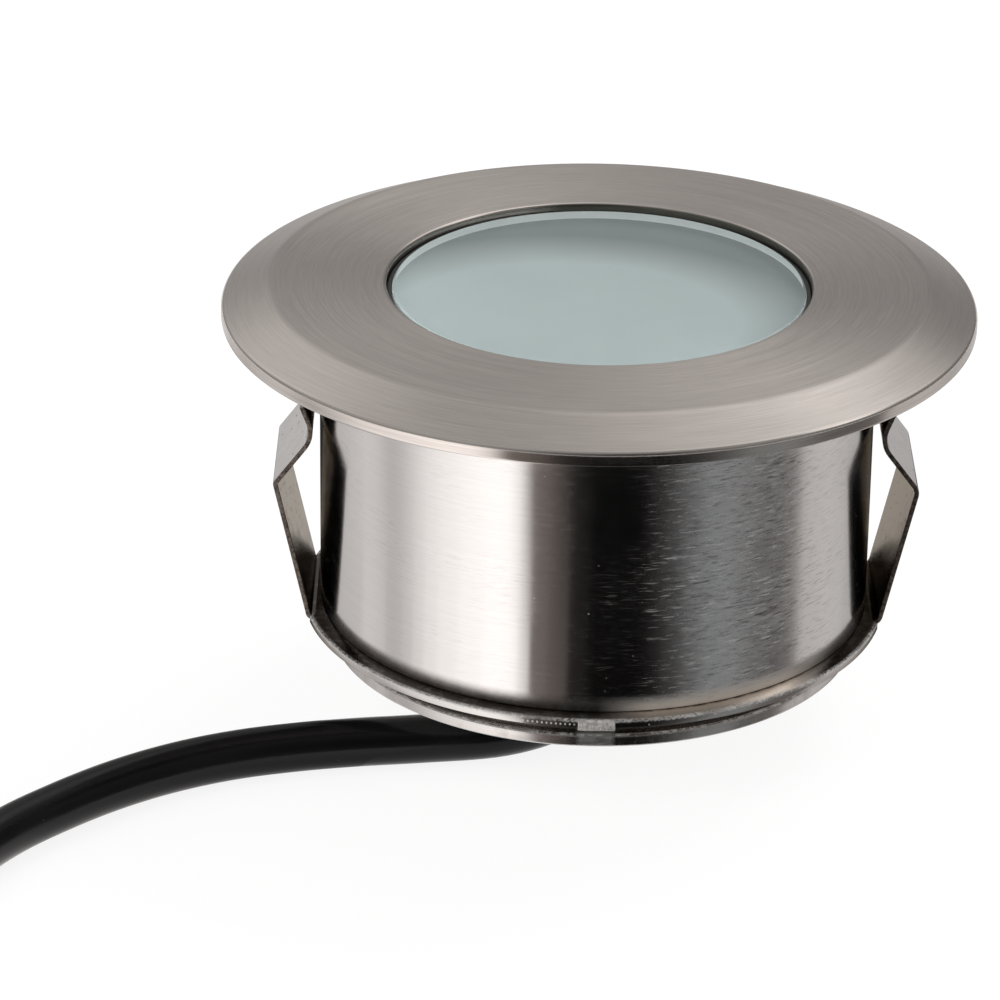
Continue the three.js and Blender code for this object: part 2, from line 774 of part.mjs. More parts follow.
// Least gap of the coil to itself, from points at least half a loop apart along it.
function leastCoilGap(points) {
  let least = Infinity;
  points.forEach((point, i) => {
    points.slice(i + coilLoopSteps / 2).forEach((other) => {
      least = Math.min(least, point.distanceTo(other) - 2 * flexRadius);
    });
  });
  return least;
}

// Tie round the coil's bundle, with its head on top.
function coilTie() {
  const heading = new THREE.Vector2(Math.cos(tieAngle), Math.sin(tieAngle));
  const crossings = coilPath()
    .map((point) => new THREE.Vector2(point.x - coilCentre[0], point.y - coilCentre[1]))
    .filter((point) => Math.abs(point.cross(heading)) < tieWidth && point.dot(heading) > 0)
    .map((point) => point.dot(heading));
  const inner = Math.min(...crossings) - flexRadius - flexGap;
  const outer = Math.max(...crossings) + flexRadius + flexGap;
  const low = coilLow - flexRadius - flexGap;
  const high = coilLow + coilPitch + flexRadius + flexGap;
  const frame = (grow, corner) => {
    const [left, right, bottom, top] = [inner - grow, outer + grow, low - grow, high + grow];
    return [
      ...arc([right - corner, bottom + corner], corner, -Math.PI / 2, 0),
      ...arc([right - corner, top - corner], corner, 0, Math.PI / 2),
      ...arc([left + corner, top - corner], corner, Math.PI / 2, Math.PI),
      ...arc([left + corner, bottom + corner], corner, Math.PI, (3 * Math.PI) / 2),
    ].map((place) => new THREE.Vector2(...place));
  };
  const shape = new THREE.Shape(frame(tieThickness, tieCorner + tieThickness));
  shape.holes.push(new THREE.Path(frame(0, tieCorner)));
  const band = closed(new THREE.ExtrudeGeometry(shape, { depth: tieWidth, bevelEnabled: false })
    .rotateX(Math.PI / 2).translate(0, tieWidth / 2, 0));
  const middle = (inner + outer) / 2;
  const head = block({ ...tieHead, corner: tieHead.depth / 8 }, middle, 0, high + tieThickness / 2);
  return join(band, head).rotateZ(tieAngle).translate(coilCentre[0], coilCentre[1], 0);
}

// Frame of the plug: its axis runs along +Y from the end of the coil's tail.
function onTail(geometry) {
  const tail = coilPath().pop();
  return geometry.rotateX(-Math.PI / 2).translate(tail.x, tail.y + flexGap, tail.z);
}

const plugShoulder = plugReliefLength;
const plugBodyEnd = plugShoulder + plugBodyLength;
const plugFace = plugBodyEnd + plugFaceLength;

function plugBody() {
  const [neck, root] = plugReliefRadii;
  return onTail(turned([
    [0, 0],
    [neck, 0],
    [root, plugShoulder],
    ...arc([plugBodyRadius - plugEdge, plugShoulder + plugEdge], plugEdge, -Math.PI / 2, 0),
    ...arc([plugBodyRadius - plugEdge, plugBodyEnd - plugEdge], plugEdge, 0, Math.PI / 2),
    [plugFaceRadius, plugBodyEnd],
    [plugFaceRadius, plugFace],
    [0, plugFace],
  ], mediumSegments));
}

// Coupling ring of the plug, with grip ribs round it.
function plugCollar() {
  const points = [];
  around(collarRibs, collarRadius).forEach(({ angle }) => {
    [[0, collarRadius], [1, collarRadius], [2, collarRadius - collarRibDepth], [3, collarRadius - collarRibDepth]]
      .forEach(([quarter, radius]) => {
        const at = angle + (2 * Math.PI * quarter) / (4 * collarRibs);
        points.push(new THREE.Vector2(radius * Math.cos(at), radius * Math.sin(at)));
      });
  });
  const shape = new THREE.Shape(points);
  shape.holes.push(new THREE.Path().absarc(0, 0, plugFaceRadius + fitGap, 0, 2 * Math.PI, true));
  const settings = { depth: collarLength, bevelEnabled: false, curveSegments: mediumSegments };
  return onTail(closed(new THREE.ExtrudeGeometry(shape, settings)).translate(0, 0, plugBodyEnd + seatGap));
}

function plugPin(side) {
  const bottom = plugFace + seatGap;
  const top = bottom + pinLength;
  const outline = [
    [0, bottom], [pinRadius, bottom], [pinRadius, top - pinTip], [pinRadius - pinTip, top], [0, top],
  ];
  return onTail(turned(outline, smallSegments).translate((side * pinSpacing) / 2, 0, 0));
}

piece("trim_ring", trimRing(), steel);
piece("neck_seal", neckSeal(), rubber);
piece("glass_disc", glassDisc(), frosted);
piece("glass_gasket", glassGasket(), rubber);
piece("housing_can", housingCan(), polished);
piece("base_disc", baseDisc(), polished);
piece("spring_plate", springPlate(), spring);
piece("clip_leg_right", clipLeg(), spring);
piece("clip_head_right", clipHead(), spring);
piece("clip_leg_left", clipLeg().rotateZ(Math.PI), spring);
piece("clip_head_left", clipHead().rotateZ(Math.PI), spring);
piece("cable_boot", cableBoot(), rubber);
piece("gland_washer", glandWasher(), steel);
piece("gland_nut", glandNut(), brass);
piece("reflector_cup", reflectorCup(), white);
piece("led_board", ledBoard(), white);
around(ledCount, ledCircle, Math.PI / ledCount).forEach((place, i) => {
  piece(`led_chip_${i + 1}`, ledChip(place), phosphor);
});
ledScrewPlaces().forEach(({ x, y }, i) => {
  piece(`led_screw_${i + 1}`, screw(ledBoardTop, ledBoardThickness + screwBite, x, y), steel);
});
piece("heat_spreader", heatSpreader(), aluminium);
piece("driver_board", driverBoard(), green);
postPlaces().forEach(({ x, y }, i) => {
  piece(`driver_screw_${i + 1}`, screw(driverUnder, driverThickness + screwBite, x, y, true), steel);
});
piece("capacitor", capacitor(), aluminium);
piece("inductor", inductor(), ferrite);
piece("rectifier", underBoard(rectifierSize, rectifierShares), dark);
piece("driver_chip", underBoard(driverChipSize, driverChipShares), dark);
piece("terminal_block", terminalBlock(), green);
piece("core_brown", core(-1), brown);
piece("core_blue", core(1), blue);
piece("led_wire_red", ledWire(-1), red);
piece("led_wire_black", ledWire(1), dark);
piece("cable_lead", wire(flexRoute, flexRadius, flexSides, flexSteps), rubber);
piece("cable_coil", tube(coilPath(), flexRadius, coilSides), rubber);
piece("coil_tie", coilTie(), dark);
piece("plug_body", plugBody(), dark);
piece("plug_collar", plugCollar(), dark);
piece("plug_pin_1", plugPin(-1), brass);
piece("plug_pin_2", plugPin(1), brass);

console.log(`least gap of the coil to itself: ${leastCoilGap(coilPath()).toFixed(2)} mm`);

export default lamp;
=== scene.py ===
"""In-ground spotlight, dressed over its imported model.

Sizes in the classes are millimetres, in the model's own frame: +Z up, the lamp standing on z = 0, its glass
up, its clips on the X axis and the viewer on the -Y side. Meshes are made in metres.
"""
import logging
import math
from collections.abc import Sequence
from dataclasses import dataclass
from enum import Enum
from functools import cached_property
from typing import Self

import bmesh
import bpy
from mathutils import Matrix, Vector


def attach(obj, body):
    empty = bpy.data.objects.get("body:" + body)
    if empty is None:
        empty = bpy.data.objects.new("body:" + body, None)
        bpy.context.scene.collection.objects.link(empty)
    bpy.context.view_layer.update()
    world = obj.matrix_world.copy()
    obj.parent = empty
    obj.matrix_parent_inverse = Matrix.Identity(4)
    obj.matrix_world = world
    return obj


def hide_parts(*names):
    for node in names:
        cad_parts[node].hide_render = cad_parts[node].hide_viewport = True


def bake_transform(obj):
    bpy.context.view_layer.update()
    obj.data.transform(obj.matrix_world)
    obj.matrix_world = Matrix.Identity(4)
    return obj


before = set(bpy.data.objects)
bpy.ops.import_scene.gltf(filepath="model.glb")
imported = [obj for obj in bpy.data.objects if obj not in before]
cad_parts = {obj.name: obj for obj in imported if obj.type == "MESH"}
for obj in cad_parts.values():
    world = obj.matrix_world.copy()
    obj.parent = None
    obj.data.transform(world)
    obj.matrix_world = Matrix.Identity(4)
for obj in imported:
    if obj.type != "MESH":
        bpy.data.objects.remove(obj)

MM = 0.001
FULL_TURN = 2 * math.pi
SHARP_ANGLE = 32.0
SOFT_ANGLE = 40.0
TUBE_ANGLE = 50.0
EDGE = 0.1
log = logging.getLogger("spotlight")

Point = tuple[float, float]
Corner = tuple[float, float, float]
Place = tuple[float, float, float]
Colour = tuple[float, float, float]

# A pattern is a noise's scale, detail and roughness. One along lathe grooves starts with two scales.
# A slope is where a mask starts and ends and, unless they are 0 and 1, its results there.
Pattern = tuple[float, ...]
Slope = tuple[float, ...]
MIDDLE = (0.35, 0.65)
BROAD = (0.3, 0.7)


# Outlines and meshes


def filleted(
    corners: Sequence[Corner], steps: int = 4, loop: bool = True, guard: float = 0.05
) -> list[Point]:
    """Rounds the corners of an outline, with a guard point on each side that keeps the shading tight.

    Args:
        corners: points as (across, up, fillet radius).
        steps: faces round each fillet.
        loop: whether the last point joins the first.
        guard: distance of the guard points from a fillet.

    Returns:
        The outline as (across, up) points.
    """
    points: list[Point] = []
    count = len(corners)
    for index, (across, up, radius) in enumerate(corners):
        at = Vector((across, up))
        if radius <= 0 or (not loop and index in (0, count - 1)):
            points.append((across, up))
            continue
        back = Vector(corners[index - 1][:2]) - at
        onward = Vector(corners[(index + 1) % count][:2]) - at
        half = back.angle(onward) / 2
        reach = radius / math.tan(half)
        centre = at + (back.normalized() + onward.normalized()).normalized() * (radius / math.sin(half))
        start = at + back.normalized() * reach - centre
        end = at + onward.normalized() * reach - centre
        turn = math.atan2(start.x * end.y - start.y * end.x, start.dot(end))
        if back.length > reach + 3 * guard:
            points.append(tuple(at + back.normalized() * (reach + guard)))
        for step in range(steps + 1):
            points.append(tuple(centre + Matrix.Rotation(turn * step / steps, 2) @ start))
        if onward.length > reach + 3 * guard:
            points.append(tuple(at + onward.normalized() * (reach + guard)))
    return points


def linked(name: str, data: bpy.types.ID) -> bpy.types.Object:
    """Makes an object and puts it in the scene.

    Args:
        name: name of the new object.
        data: its mesh, curve, lamp or camera.

    Returns:
        The new object.
    """
    made = bpy.data.objects.new(name, data)
    bpy.context.scene.collection.objects.link(made)
    return made


def finished(
    name: str, mesh: bpy.types.Mesh, material: bpy.types.Material | None, sharp: float = SHARP_ANGLE
) -> bpy.types.Object:
    """Turns a mesh's faces outwards, shades it and puts it in the scene.

    Args:
        name: name of the new object.
        mesh: the mesh, in metres.
        material: its finish, or None to keep what it has.
        sharp: angle in degrees past which an edge is shaded sharp.

    Returns:
        The new object.
    """
    shell = bmesh.new()
    shell.from_mesh(mesh)
    bmesh.ops.recalc_face_normals(shell, faces=shell.faces)
    shell.to_mesh(mesh)
    shell.free()
    mesh.polygons.foreach_set("use_smooth", [True] * len(mesh.polygons))
    mesh.set_sharp_from_angle(angle=math.radians(sharp))
    if material is not None:
        mesh.materials.clear()
        mesh.materials.append(material)
    return linked(name, mesh)


def lofted(
    name: str, loops: Sequence[Sequence[Place]], material: bpy.types.Material, closed: bool = True,
    sharp: float = SHARP_ANGLE,
) -> bpy.types.Object:
    """Skins a row of loops into one closed mesh.

    Args:
        name: name of the new object.
        loops: loops of places in millimetres, all of one count, or of one place at a pole.
        material: finish of the whole piece.
        closed: whether the last loop joins the first; otherwise both ends are capped.
        sharp: angle in degrees past which an edge is shaded sharp.

    Returns:
        The new object.
    """
    places: list[Vector] = []
    rows: list[list[int]] = []
    for loop in loops:
        rows.append(list(range(len(places), len(places) + len(loop))))
        places.extend(Vector(place) * MM for place in loop)
    faces: list[tuple[int, ...]] = []
    around = max(len(row) for row in rows)
    for index in range(len(rows) if closed else len(rows) - 1):
        first, second = rows[index], rows[(index + 1) % len(rows)]
        if len(first) == len(second) == 1:
            continue
        for here in range(around):
            there = (here + 1) % around
            low = [first[step % len(first)] for step in (here, there)]
            high = [second[step % len(second)] for step in (there, here)]
            faces.append(tuple(dict.fromkeys(low + high)))
    if not closed:
        faces += [tuple(reversed(rows[0])), tuple(rows[-1])]
    mesh = bpy.data.meshes.new(name)
    mesh.from_pydata(places, [], faces)
    return finished(name, mesh, material, sharp)


def turned(
    name: str, outline: Sequence[Point], material: bpy.types.Material, segments: int = 192,
    placed: Matrix | None = None,
) -> bpy.types.Object:
    """Turns a closed outline round the Z axis.

    Args:
        name: name of the new object.
        outline: (radius, height) points in millimetres; a radius of 0 is a pole.
        material: finish of the whole piece.
        segments: faces round the axis.
        placed: turn and shift, in millimetres, from the Z axis to where the piece goes.

    Returns:
        The new object.
    """
    where = placed or Matrix.Identity(4)
    angles = [FULL_TURN * index / segments for index in range(segments)]
    loops = []
    for radius, height in outline:
        headings = angles if radius > 0 else [0.0]
        spots = [Vector((radius * math.cos(angle), radius * math.sin(angle), height)) for angle in headings]
        loops.append([tuple(where @ spot) for spot in spots])
    return lofted(name, loops, material)


def joined(name: str, parts: Sequence[bpy.types.Object]) -> bpy.types.Object:
    """Joins several objects into one mesh under one name.

    Args:
        name: name of the result.
        parts: the objects, which are used up.

    Returns:
        The joined object.
    """
    first, chosen = parts[0], list(parts)
    with bpy.context.temp_override(
        active_object=first, object=first, selected_objects=chosen, selected_editable_objects=chosen
    ):
        bpy.ops.object.join()
    first.name = name
    first.data.name = name
    return first


def block(
    name: str, low: Place, high: Place, material: bpy.types.Material, placed: Matrix
) -> bpy.types.Object:
    """Makes a block with rounded edges.

    Args:
        name: name of the new object.
        low: lowest corner in millimetres.
        high: highest corner in millimetres.
        material: its finish.
        placed: turn and shift in millimetres.

    Returns:
        The new object.
    """
    shell = bmesh.new()
    bmesh.ops.create_cube(shell, size=1)
    size = Vector(high) - Vector(low)
    middle = (Vector(high) + Vector(low)) / 2
    where = placed @ Matrix.Translation(middle) @ Matrix.Diagonal((*size, 1))
    bmesh.ops.transform(shell, matrix=where, verts=shell.verts)
    bmesh.ops.bevel(shell, geom=list(shell.edges), offset=EDGE, segments=3, profile=0.5, affect="EDGES")
    bmesh.ops.scale(shell, vec=(MM, MM, MM), verts=shell.verts)
    mesh = bpy.data.meshes.new(name)
    shell.to_mesh(mesh)
    shell.free()
    return finished(name, mesh, material, SOFT_ANGLE)


# Node trees


class Value:
    """A number that a node tree works out at every point, ready for further sums."""

    def __init__(self, nodes: "Nodes", socket: bpy.types.NodeSocket) -> None:
        """Wraps a socket of a tree."""
        self.nodes = nodes
        self.socket = socket

    def __add__(self, other: Self | float) -> Self:
        """Adds another value."""
        return self.nodes.maths("ADD", self, other)

    def __sub__(self, other: Self | float) -> Self:
        """Takes another value away."""
        return self.nodes.maths("SUBTRACT", self, other)

    def __rsub__(self, other: float) -> Self:
        """Takes the value from a plain number."""
        return self.nodes.maths("SUBTRACT", other, self)

    def __mul__(self, other: Self | float) -> Self:
        """Multiplies by another value."""
        return self.nodes.maths("MULTIPLY", self, other)

    def __or__(self, other: Self) -> Self:
        """Gives the larger of two values, which joins two masks."""
        return self.nodes.maths("MAXIMUM", self, other)

    def __abs__(self) -> Self:
        """Leaves the sign out."""
        return self.nodes.maths("ABSOLUTE", self)

    def spread(self, start: float, end: float, low: float = 0.0, high: float = 1.0) -> Self:
        """Maps a range of the value to another, held at both ends.

        Args:
            start: where the result starts to change.
            end: where it stops; it may lie below the start.
            low: result at the start.
            high: result at the end.

        Returns:
            The mapped value.
        """
        links = {"Value": self, "From Min": start, "From Max": end, "To Min": low, "To Max": high}
        return Value(self.nodes, self.nodes.node("ShaderNodeMapRange", links).outputs["Result"])

    def near(self, level: float, start: float, end: float) -> Self:
        """Rises from 0 to 1 between two distances from a level."""
        return self.spread(level + start, level + end)

    def between(self, rise: Point, fall: Point) -> Self:
        """Gives 1 between two slopes.

        Args:
            rise: where it rises from 0 to 1.
            fall: where it falls back to 0.

        Returns:
            The mask.
        """
        return self.spread(*rise) * self.spread(fall[1], fall[0])

    def about(self, level: float, below: float, above: float) -> Self:
        """Spreads a noise round a level.

        Args:
            level: the level.
            below: how far it goes below it.
            above: how far it goes above it.

        Returns:
            The spread value.
        """
        return self.spread(*BROAD, level - below, level + above)


class Nodes:
    """A node tree, with short ways to add its nodes and link them."""

    def __init__(self, tree: bpy.types.NodeTree) -> None:
        """Takes a tree on."""
        self.tree = tree

    def feed(self, socket: bpy.types.NodeSocket, value: object) -> None:
        """Links an input, or sets it.

        Args:
            socket: the input.
            value: a value or another socket to link it to, or the number, colour or choice that it gets.
        """
        source = value.socket if isinstance(value, Value) else value
        if isinstance(source, bpy.types.NodeSocket):
            self.tree.links.new(source, socket)
        else:
            socket.default_value = (*source, 1.0) if socket.type == "RGBA" else source

    def node(
        self, kind: str, links: dict[str | int, object] | None = None, **settings: object
    ) -> bpy.types.Node:
        """Adds a node, sets its properties and feeds its inputs.

        Args:
            kind: the node's type name.
            links: names or numbers of its inputs, and what each gets.
            **settings: properties of the node.

        Returns:
            The new node.
        """
        added = self.tree.nodes.new(kind)
        for key, value in settings.items():
            setattr(added, key, value)
        for key, value in (links or {}).items():
            self.feed(added.inputs[key], value)
        return added

    def maths(self, operation: str, *terms: Value | float) -> Value:
        """Works out a number from one or two others."""
        added = self.node("ShaderNodeMath", dict(enumerate(terms)), operation=operation)
        return Value(self, added.outputs[0])

    def vector(self, operation: str, *terms: object) -> bpy.types.Node:
        """Adds a sum on vectors, whose result is a vector or a number."""
        return self.node("ShaderNodeVectorMath", dict(enumerate(terms)), operation=operation)

    def split(self, vector: bpy.types.NodeSocket) -> tuple[Value, ...]:
        """Gives a vector's three numbers."""
        parts = self.node("ShaderNodeSeparateXYZ", {0: vector}).outputs
        return tuple(Value(self, part) for part in parts)

    def seen(self) -> Value:
        """Tells the rays that see the white surroundings from those that only light the lamp.

        Returns:
            1 for a ray that sees them, 0 for another.
        """
        rays = self.node("ShaderNodeLightPath").outputs
        kinds = ("Camera", "Glossy", "Transmission")
        eye, gloss, through = (Value(self, rays[f"Is {kind} Ray"]) for kind in kinds)
        return eye | gloss | through


class Shader(Nodes):
    """Node tree of one material, which reads its piece's own coordinates in millimetres."""

    def __init__(self, name: str) -> None:
        """Makes the material and finds its surface shader.

        Args:
            name: name of the material.
        """
        self.material = bpy.data.materials.new(name)
        self.material.use_nodes = True
        super().__init__(self.material.node_tree)
        self.surface = self.tree.nodes["Principled BSDF"]

    @cached_property
    def place(self) -> bpy.types.NodeSocket:
        """The coordinates."""
        metres = self.node("ShaderNodeTexCoord").outputs["Object"]
        return self.vector("MULTIPLY", metres, (1 / MM,) * 3).outputs[0]

    @cached_property
    def axes(self) -> tuple[Value, ...]:
        """The coordinates one by one."""
        return self.split(self.place)

    @cached_property
    def flat(self) -> bpy.types.NodeSocket:
        """The coordinates with their height left out."""
        return self.vector("MULTIPLY", self.place, (1, 1, 0)).outputs[0]

    @cached_property
    def reach(self) -> Value:
        """The distance from the Z axis."""
        return Value(self, self.vector("LENGTH", self.flat).outputs["Value"])

    def set(self, **values: object) -> None:
        """Sets or links the surface shader's inputs.

        Args:
            **values: names of inputs, with _ for spaces, and what each gets.
        """
        for key, value in values.items():
            words = key.replace("_", " ")
            self.feed(next(one for one in self.surface.inputs if one.name.lower() == words), value)

    def show(self, node: bpy.types.Node) -> None:
        """Puts another shader in the surface shader's place."""
        self.feed(self.tree.nodes["Material Output"].inputs["Surface"], node.outputs[0])

    def noise(
        self, scale: float, detail: float = 3.0, roughness: float = 0.6,
        vector: bpy.types.NodeSocket | None = None,
    ) -> Value:
        """Adds a noise texture.

        Args:
            scale: cycles to a millimetre, or to a unit of the vector.
            detail: octaves.
            roughness: strength of the finer octaves.
            vector: where it is read, unless that is the coordinates.

        Returns:
            The noise, about 0.5.
        """
        where = vector or self.place
        links = {"Vector": where, "Scale": scale, "Detail": detail, "Roughness": roughness}
        return Value(self, self.node("ShaderNodeTexNoise", links).outputs[0])

    def lathe(self, across: float, along: float, detail: float = 3.0, roughness: float = 0.6) -> Value:
        """Adds noise that is drawn out along grooves turned round the Z axis.

        Args:
            across: cycles to a millimetre across the grooves, on faces and on walls alike.
            along: how much the pattern changes along a groove, for a turn of one radian.
            detail: octaves.
            roughness: strength of the finer octaves.

        Returns:
            The noise, about 0.5.
        """
        run = (self.reach - self.axes[2]) * across
        ahead, aside, _ = self.split(self.vector("NORMALIZE", self.flat).outputs[0])
        grooves = self.node("ShaderNodeCombineXYZ", {0: run, 1: ahead * along, 2: aside * along})
        return self.noise(1.0, detail, roughness, grooves.outputs[0])

    def mixed(self, share: Value, first: object, second: object) -> bpy.types.NodeSocket:
        """Mixes two colours.

        Args:
            share: share of the second one.
            first: a colour or a socket.
            second: a colour or a socket.

        Returns:
            The mixed colour's socket.
        """
        added = self.node("ShaderNodeMix", {"Factor": share}, data_type="RGBA")
        ends = [one for one in added.inputs if one.type == "RGBA"]
        self.feed(ends[0], first)
        self.feed(ends[1], second)
        return next(one for one in added.outputs if one.type == "RGBA")

    def shaded(self, share: Value, colour: Colour, low: float, high: float) -> bpy.types.NodeSocket:
        """Runs a colour from one of its tints to another.

        Args:
            share: share of the second tint.
            colour: the colour.
            low: factor of the first tint.
            high: factor of the second tint.

        Returns:
            The colour's socket.
        """
        return self.mixed(share, tinted(colour, low), tinted(colour, high))

    def relief(self, height: Value, depth: float, strength: float = 0.5) -> None:
        """Gives the surface a relief.

        Args:
            height: height of each point, from 0 to 1.
            depth: depth of the relief in millimetres.
            strength: share of it that shows.
        """
        links = {"Strength": strength, "Distance": depth * MM, "Height": height}
        self.set(normal=self.node("ShaderNodeBump", links).outputs["Normal"])

    def grooved(self, anisotropy: float) -> None:
        """Stretches the highlights across grooves that run round the Z axis.

        Args:
            anisotropy: how far they are stretched.
        """
        tangent = self.node("ShaderNodeTangent", direction_type="RADIAL", axis="Z")
        self.set(tangent=tangent.outputs["Tangent"], anisotropic=anisotropy, anisotropic_rotation=0.25)


def tinted(colour: Colour, factor: float) -> Colour:
    """Makes a colour lighter or darker."""
    return tuple(min(1.0, part * factor) for part in colour)


# Finishes


RUBBED_FOOT = ((0.0, 4.0), (15.0, 19.0))


@dataclass(frozen=True)
class BrushedFace:
    """Circular brushing of the trim ring: fine grooves, broader satin streaks, a few deeper hairlines and
    painted shade on its bore wall.
    """

    colour: Colour = (0.605, 0.56, 0.528)
    bore_shade: Colour = (0.09, 0.095, 0.075)
    tints: Point = (0.905, 1.105)
    roughness: float = 0.37
    turned_roughness: float = 0.17
    anisotropy: float = 0.82
    groove_depth: float = 0.004
    rim_radius: float = 29.8
    rim_start: Point = (-0.1, 0.1)
    bore_radius: float = 17.15
    bore_start: Point = (0.08, -0.08)
    wall_start: Point = (-0.1, -0.2)
    left_side: Point = (-3.0, -6.0)
    wall_shares: Point = (0.85, 0.3)
    bore_shares: Point = (0.3, 1.0)
    grooves: Pattern = (12.0, 6.0, 3.0, 0.65)
    groove_share: float = 0.62
    streaks: Pattern = (5.0, 0.9)
    streak_share: float = 0.38
    tone: Slope = (0.38, 0.62)
    sweeps: Pattern = (0.35, 1.6, 2.0, 0.5)
    hairlines: Pattern = (7.0, 6.0, 2.0, 0.5)
    hairline: Slope = (0.7, 0.78)
    hairline_share: float = 0.35
    hairline_tint: float = 0.55

    def made(self) -> bpy.types.Material:
        """Makes the material.

        Returns:
            The material.
        """
        shader = Shader("brushed_ring")
        fine = shader.lathe(*self.grooves)
        streak = shader.lathe(*self.streaks)
        sweep = shader.lathe(*self.sweeps)
        hair = shader.lathe(*self.hairlines).spread(*self.hairline)
        tone = fine * self.groove_share + streak * self.streak_share
        base = shader.shaded(tone.spread(*self.tone), self.colour, *self.tints)
        base = shader.mixed(hair * self.hairline_share, base, tinted(self.colour, self.hairline_tint))
        across = shader.axes[0]
        # Painted shade on the bore wall, lighter on the left.
        wall = shader.reach.near(self.bore_radius, *self.wall_start)
        base = shader.mixed(wall * across.spread(*self.left_side, *self.wall_shares), base, self.bore_shade)
        rim = shader.reach.near(self.rim_radius, *self.rim_start)
        bore = shader.reach.near(self.bore_radius, *self.bore_start)
        plain = 1.0 - (rim | bore * across.spread(*self.left_side, *self.bore_shares))
        brushed = streak.about(self.roughness, 0.03, 0.03) + sweep.about(0.0, 0.02, 0.02)
        rough = plain * (brushed - self.turned_roughness) + self.turned_roughness
        shader.set(base_color=base, metallic=1.0, roughness=rough)
        shader.relief(tone - hair, self.groove_depth)
        shader.grooved(self.anisotropy)
        return shader.material


@dataclass(frozen=True)
class DrawnSteel:
    """Bright turned stainless of the can: a faint lathe finish, a scratched side, light specks and painted
    shade at its foot.
    """

    colour: Colour = (0.70, 0.68, 0.665)
    scratch_light: Colour = (0.92, 0.93, 0.97)
    scratch_dark: Colour = (0.15, 0.137, 0.125)
    # Colour of the painted shade at the can's foot.
    painted_foot_shade: Colour = (0.10, 0.082, 0.07)
    foot_rubbed: Colour = (0.84, 0.75, 0.65)
    speck_colour: Colour = (0.9, 0.89, 0.87)
    tints: Point = (0.98, 1.02)
    roughness: float = 0.14
    anisotropy: float = 0.6
    depth: float = 0.005
    front_side: Slope = (2.0, -2.0, 0.15, 1.0)
    scratched_from: Slope = (2.5, 8.0)
    scratched_to: Slope = (13.0, 19.5, 1.0, 0.15)
    glint_to: Slope = (13.0, 16.0, 1.0, 0.05)
    corner: Slope = (10.55, 9.5)
    cloud: Pattern = (0.16,)
    handled_cloud: Slope = (0.35, 0.6, 0.6, 1.0)
    clean_cloud: Slope = (0.45, 0.7, 0.03, 0.2)
    turning: Pattern = (6.0, 0.8)
    scratches: Pattern = (9.0, 14.0, 1.5)
    scratch: Slope = (0.60, 0.70)
    rubbing: Pattern = (4.5, 14.0, 4.0, 0.7)
    dark_marks: Pattern = (7.0, 16.8, 3.0, 0.7)
    dark_mark: Slope = (0.52, 0.66)
    specks: Pattern = (3.4, 1.0, 0.5)
    speck: Slope = (0.80, 0.83, 0.0, 0.7)
    stains_and_shade: Pattern = (0.9, 4.0, 0.7)
    stain_and_shade: Slope = (0.3, 0.6, 0.75, 1.0)
    rubbed_share: float = 0.5
    dark_share: float = 0.75
    foot_share: float = 0.85
    mark_roughness: float = 0.42
    rubbed_roughness: float = 0.1
    handled_roughness: float = 0.09
    foot_roughness: float = 0.22
    mark_dullness: float = 0.5
    foot_dullness: float = 0.6
    turning_height: float = 0.06
    rubbed_height: float = 0.5

    def made(self) -> bpy.types.Material:
        """Makes the material.

        Returns:
            The material.
        """
        shader = Shader("can_steel")
        across, along, up = shader.axes
        front = along.spread(*self.front_side)
        handled = across.spread(*self.scratched_from) * across.spread(*self.scratched_to) * front
        cloud = shader.noise(*self.cloud)
        patch = cloud.spread(*self.handled_cloud) * handled + cloud.spread(*self.clean_cloud)
        shining = patch * across.spread(*self.glint_to)
        lathe = shader.lathe(*self.turning)
        scratch = shader.lathe(*self.scratches).spread(*self.scratch) * shining
        rubbed = shader.lathe(*self.rubbing).spread(*MIDDLE) * shining
        dark = shader.lathe(*self.dark_marks).spread(*self.dark_mark) * patch
        speck = shader.noise(*self.specks).spread(*self.speck)
        low = up.spread(*self.corner)
        warm = low * across.between(*RUBBED_FOOT) * front
        # Painted shade: the can darkens towards its foot, where it stands on the plate, except on the warm
        # stretch; a noise varies it a little.
        stain_and_shade = (low - warm) * shader.noise(*self.stains_and_shade).spread(*self.stain_and_shade)
        base = shader.shaded(lathe.spread(*BROAD), self.colour, *self.tints)
        for share, colour in (
            (rubbed * self.rubbed_share, self.scratch_light), (dark * self.dark_share, self.scratch_dark),
            (stain_and_shade * self.foot_share, self.painted_foot_shade), (warm * self.foot_share, self.foot_rubbed),
            (speck, self.speck_colour),
        ):
            base = shader.mixed(share, base, colour)
        rough = cloud.about(self.roughness, 0.03, 0.03) + (scratch + speck) * self.mark_roughness
        rough = rough + rubbed * self.rubbed_roughness + handled * self.handled_roughness
        rough = rough + low * self.foot_roughness
        dull = scratch * self.mark_dullness | speck * self.mark_dullness | warm * self.foot_dullness
        shader.set(base_color=base, metallic=1.0 - dull, roughness=rough)
        shader.relief(lathe * self.turning_height - scratch + rubbed * self.rubbed_height, self.depth)
        shader.grooved(self.anisotropy)
        return shader.material


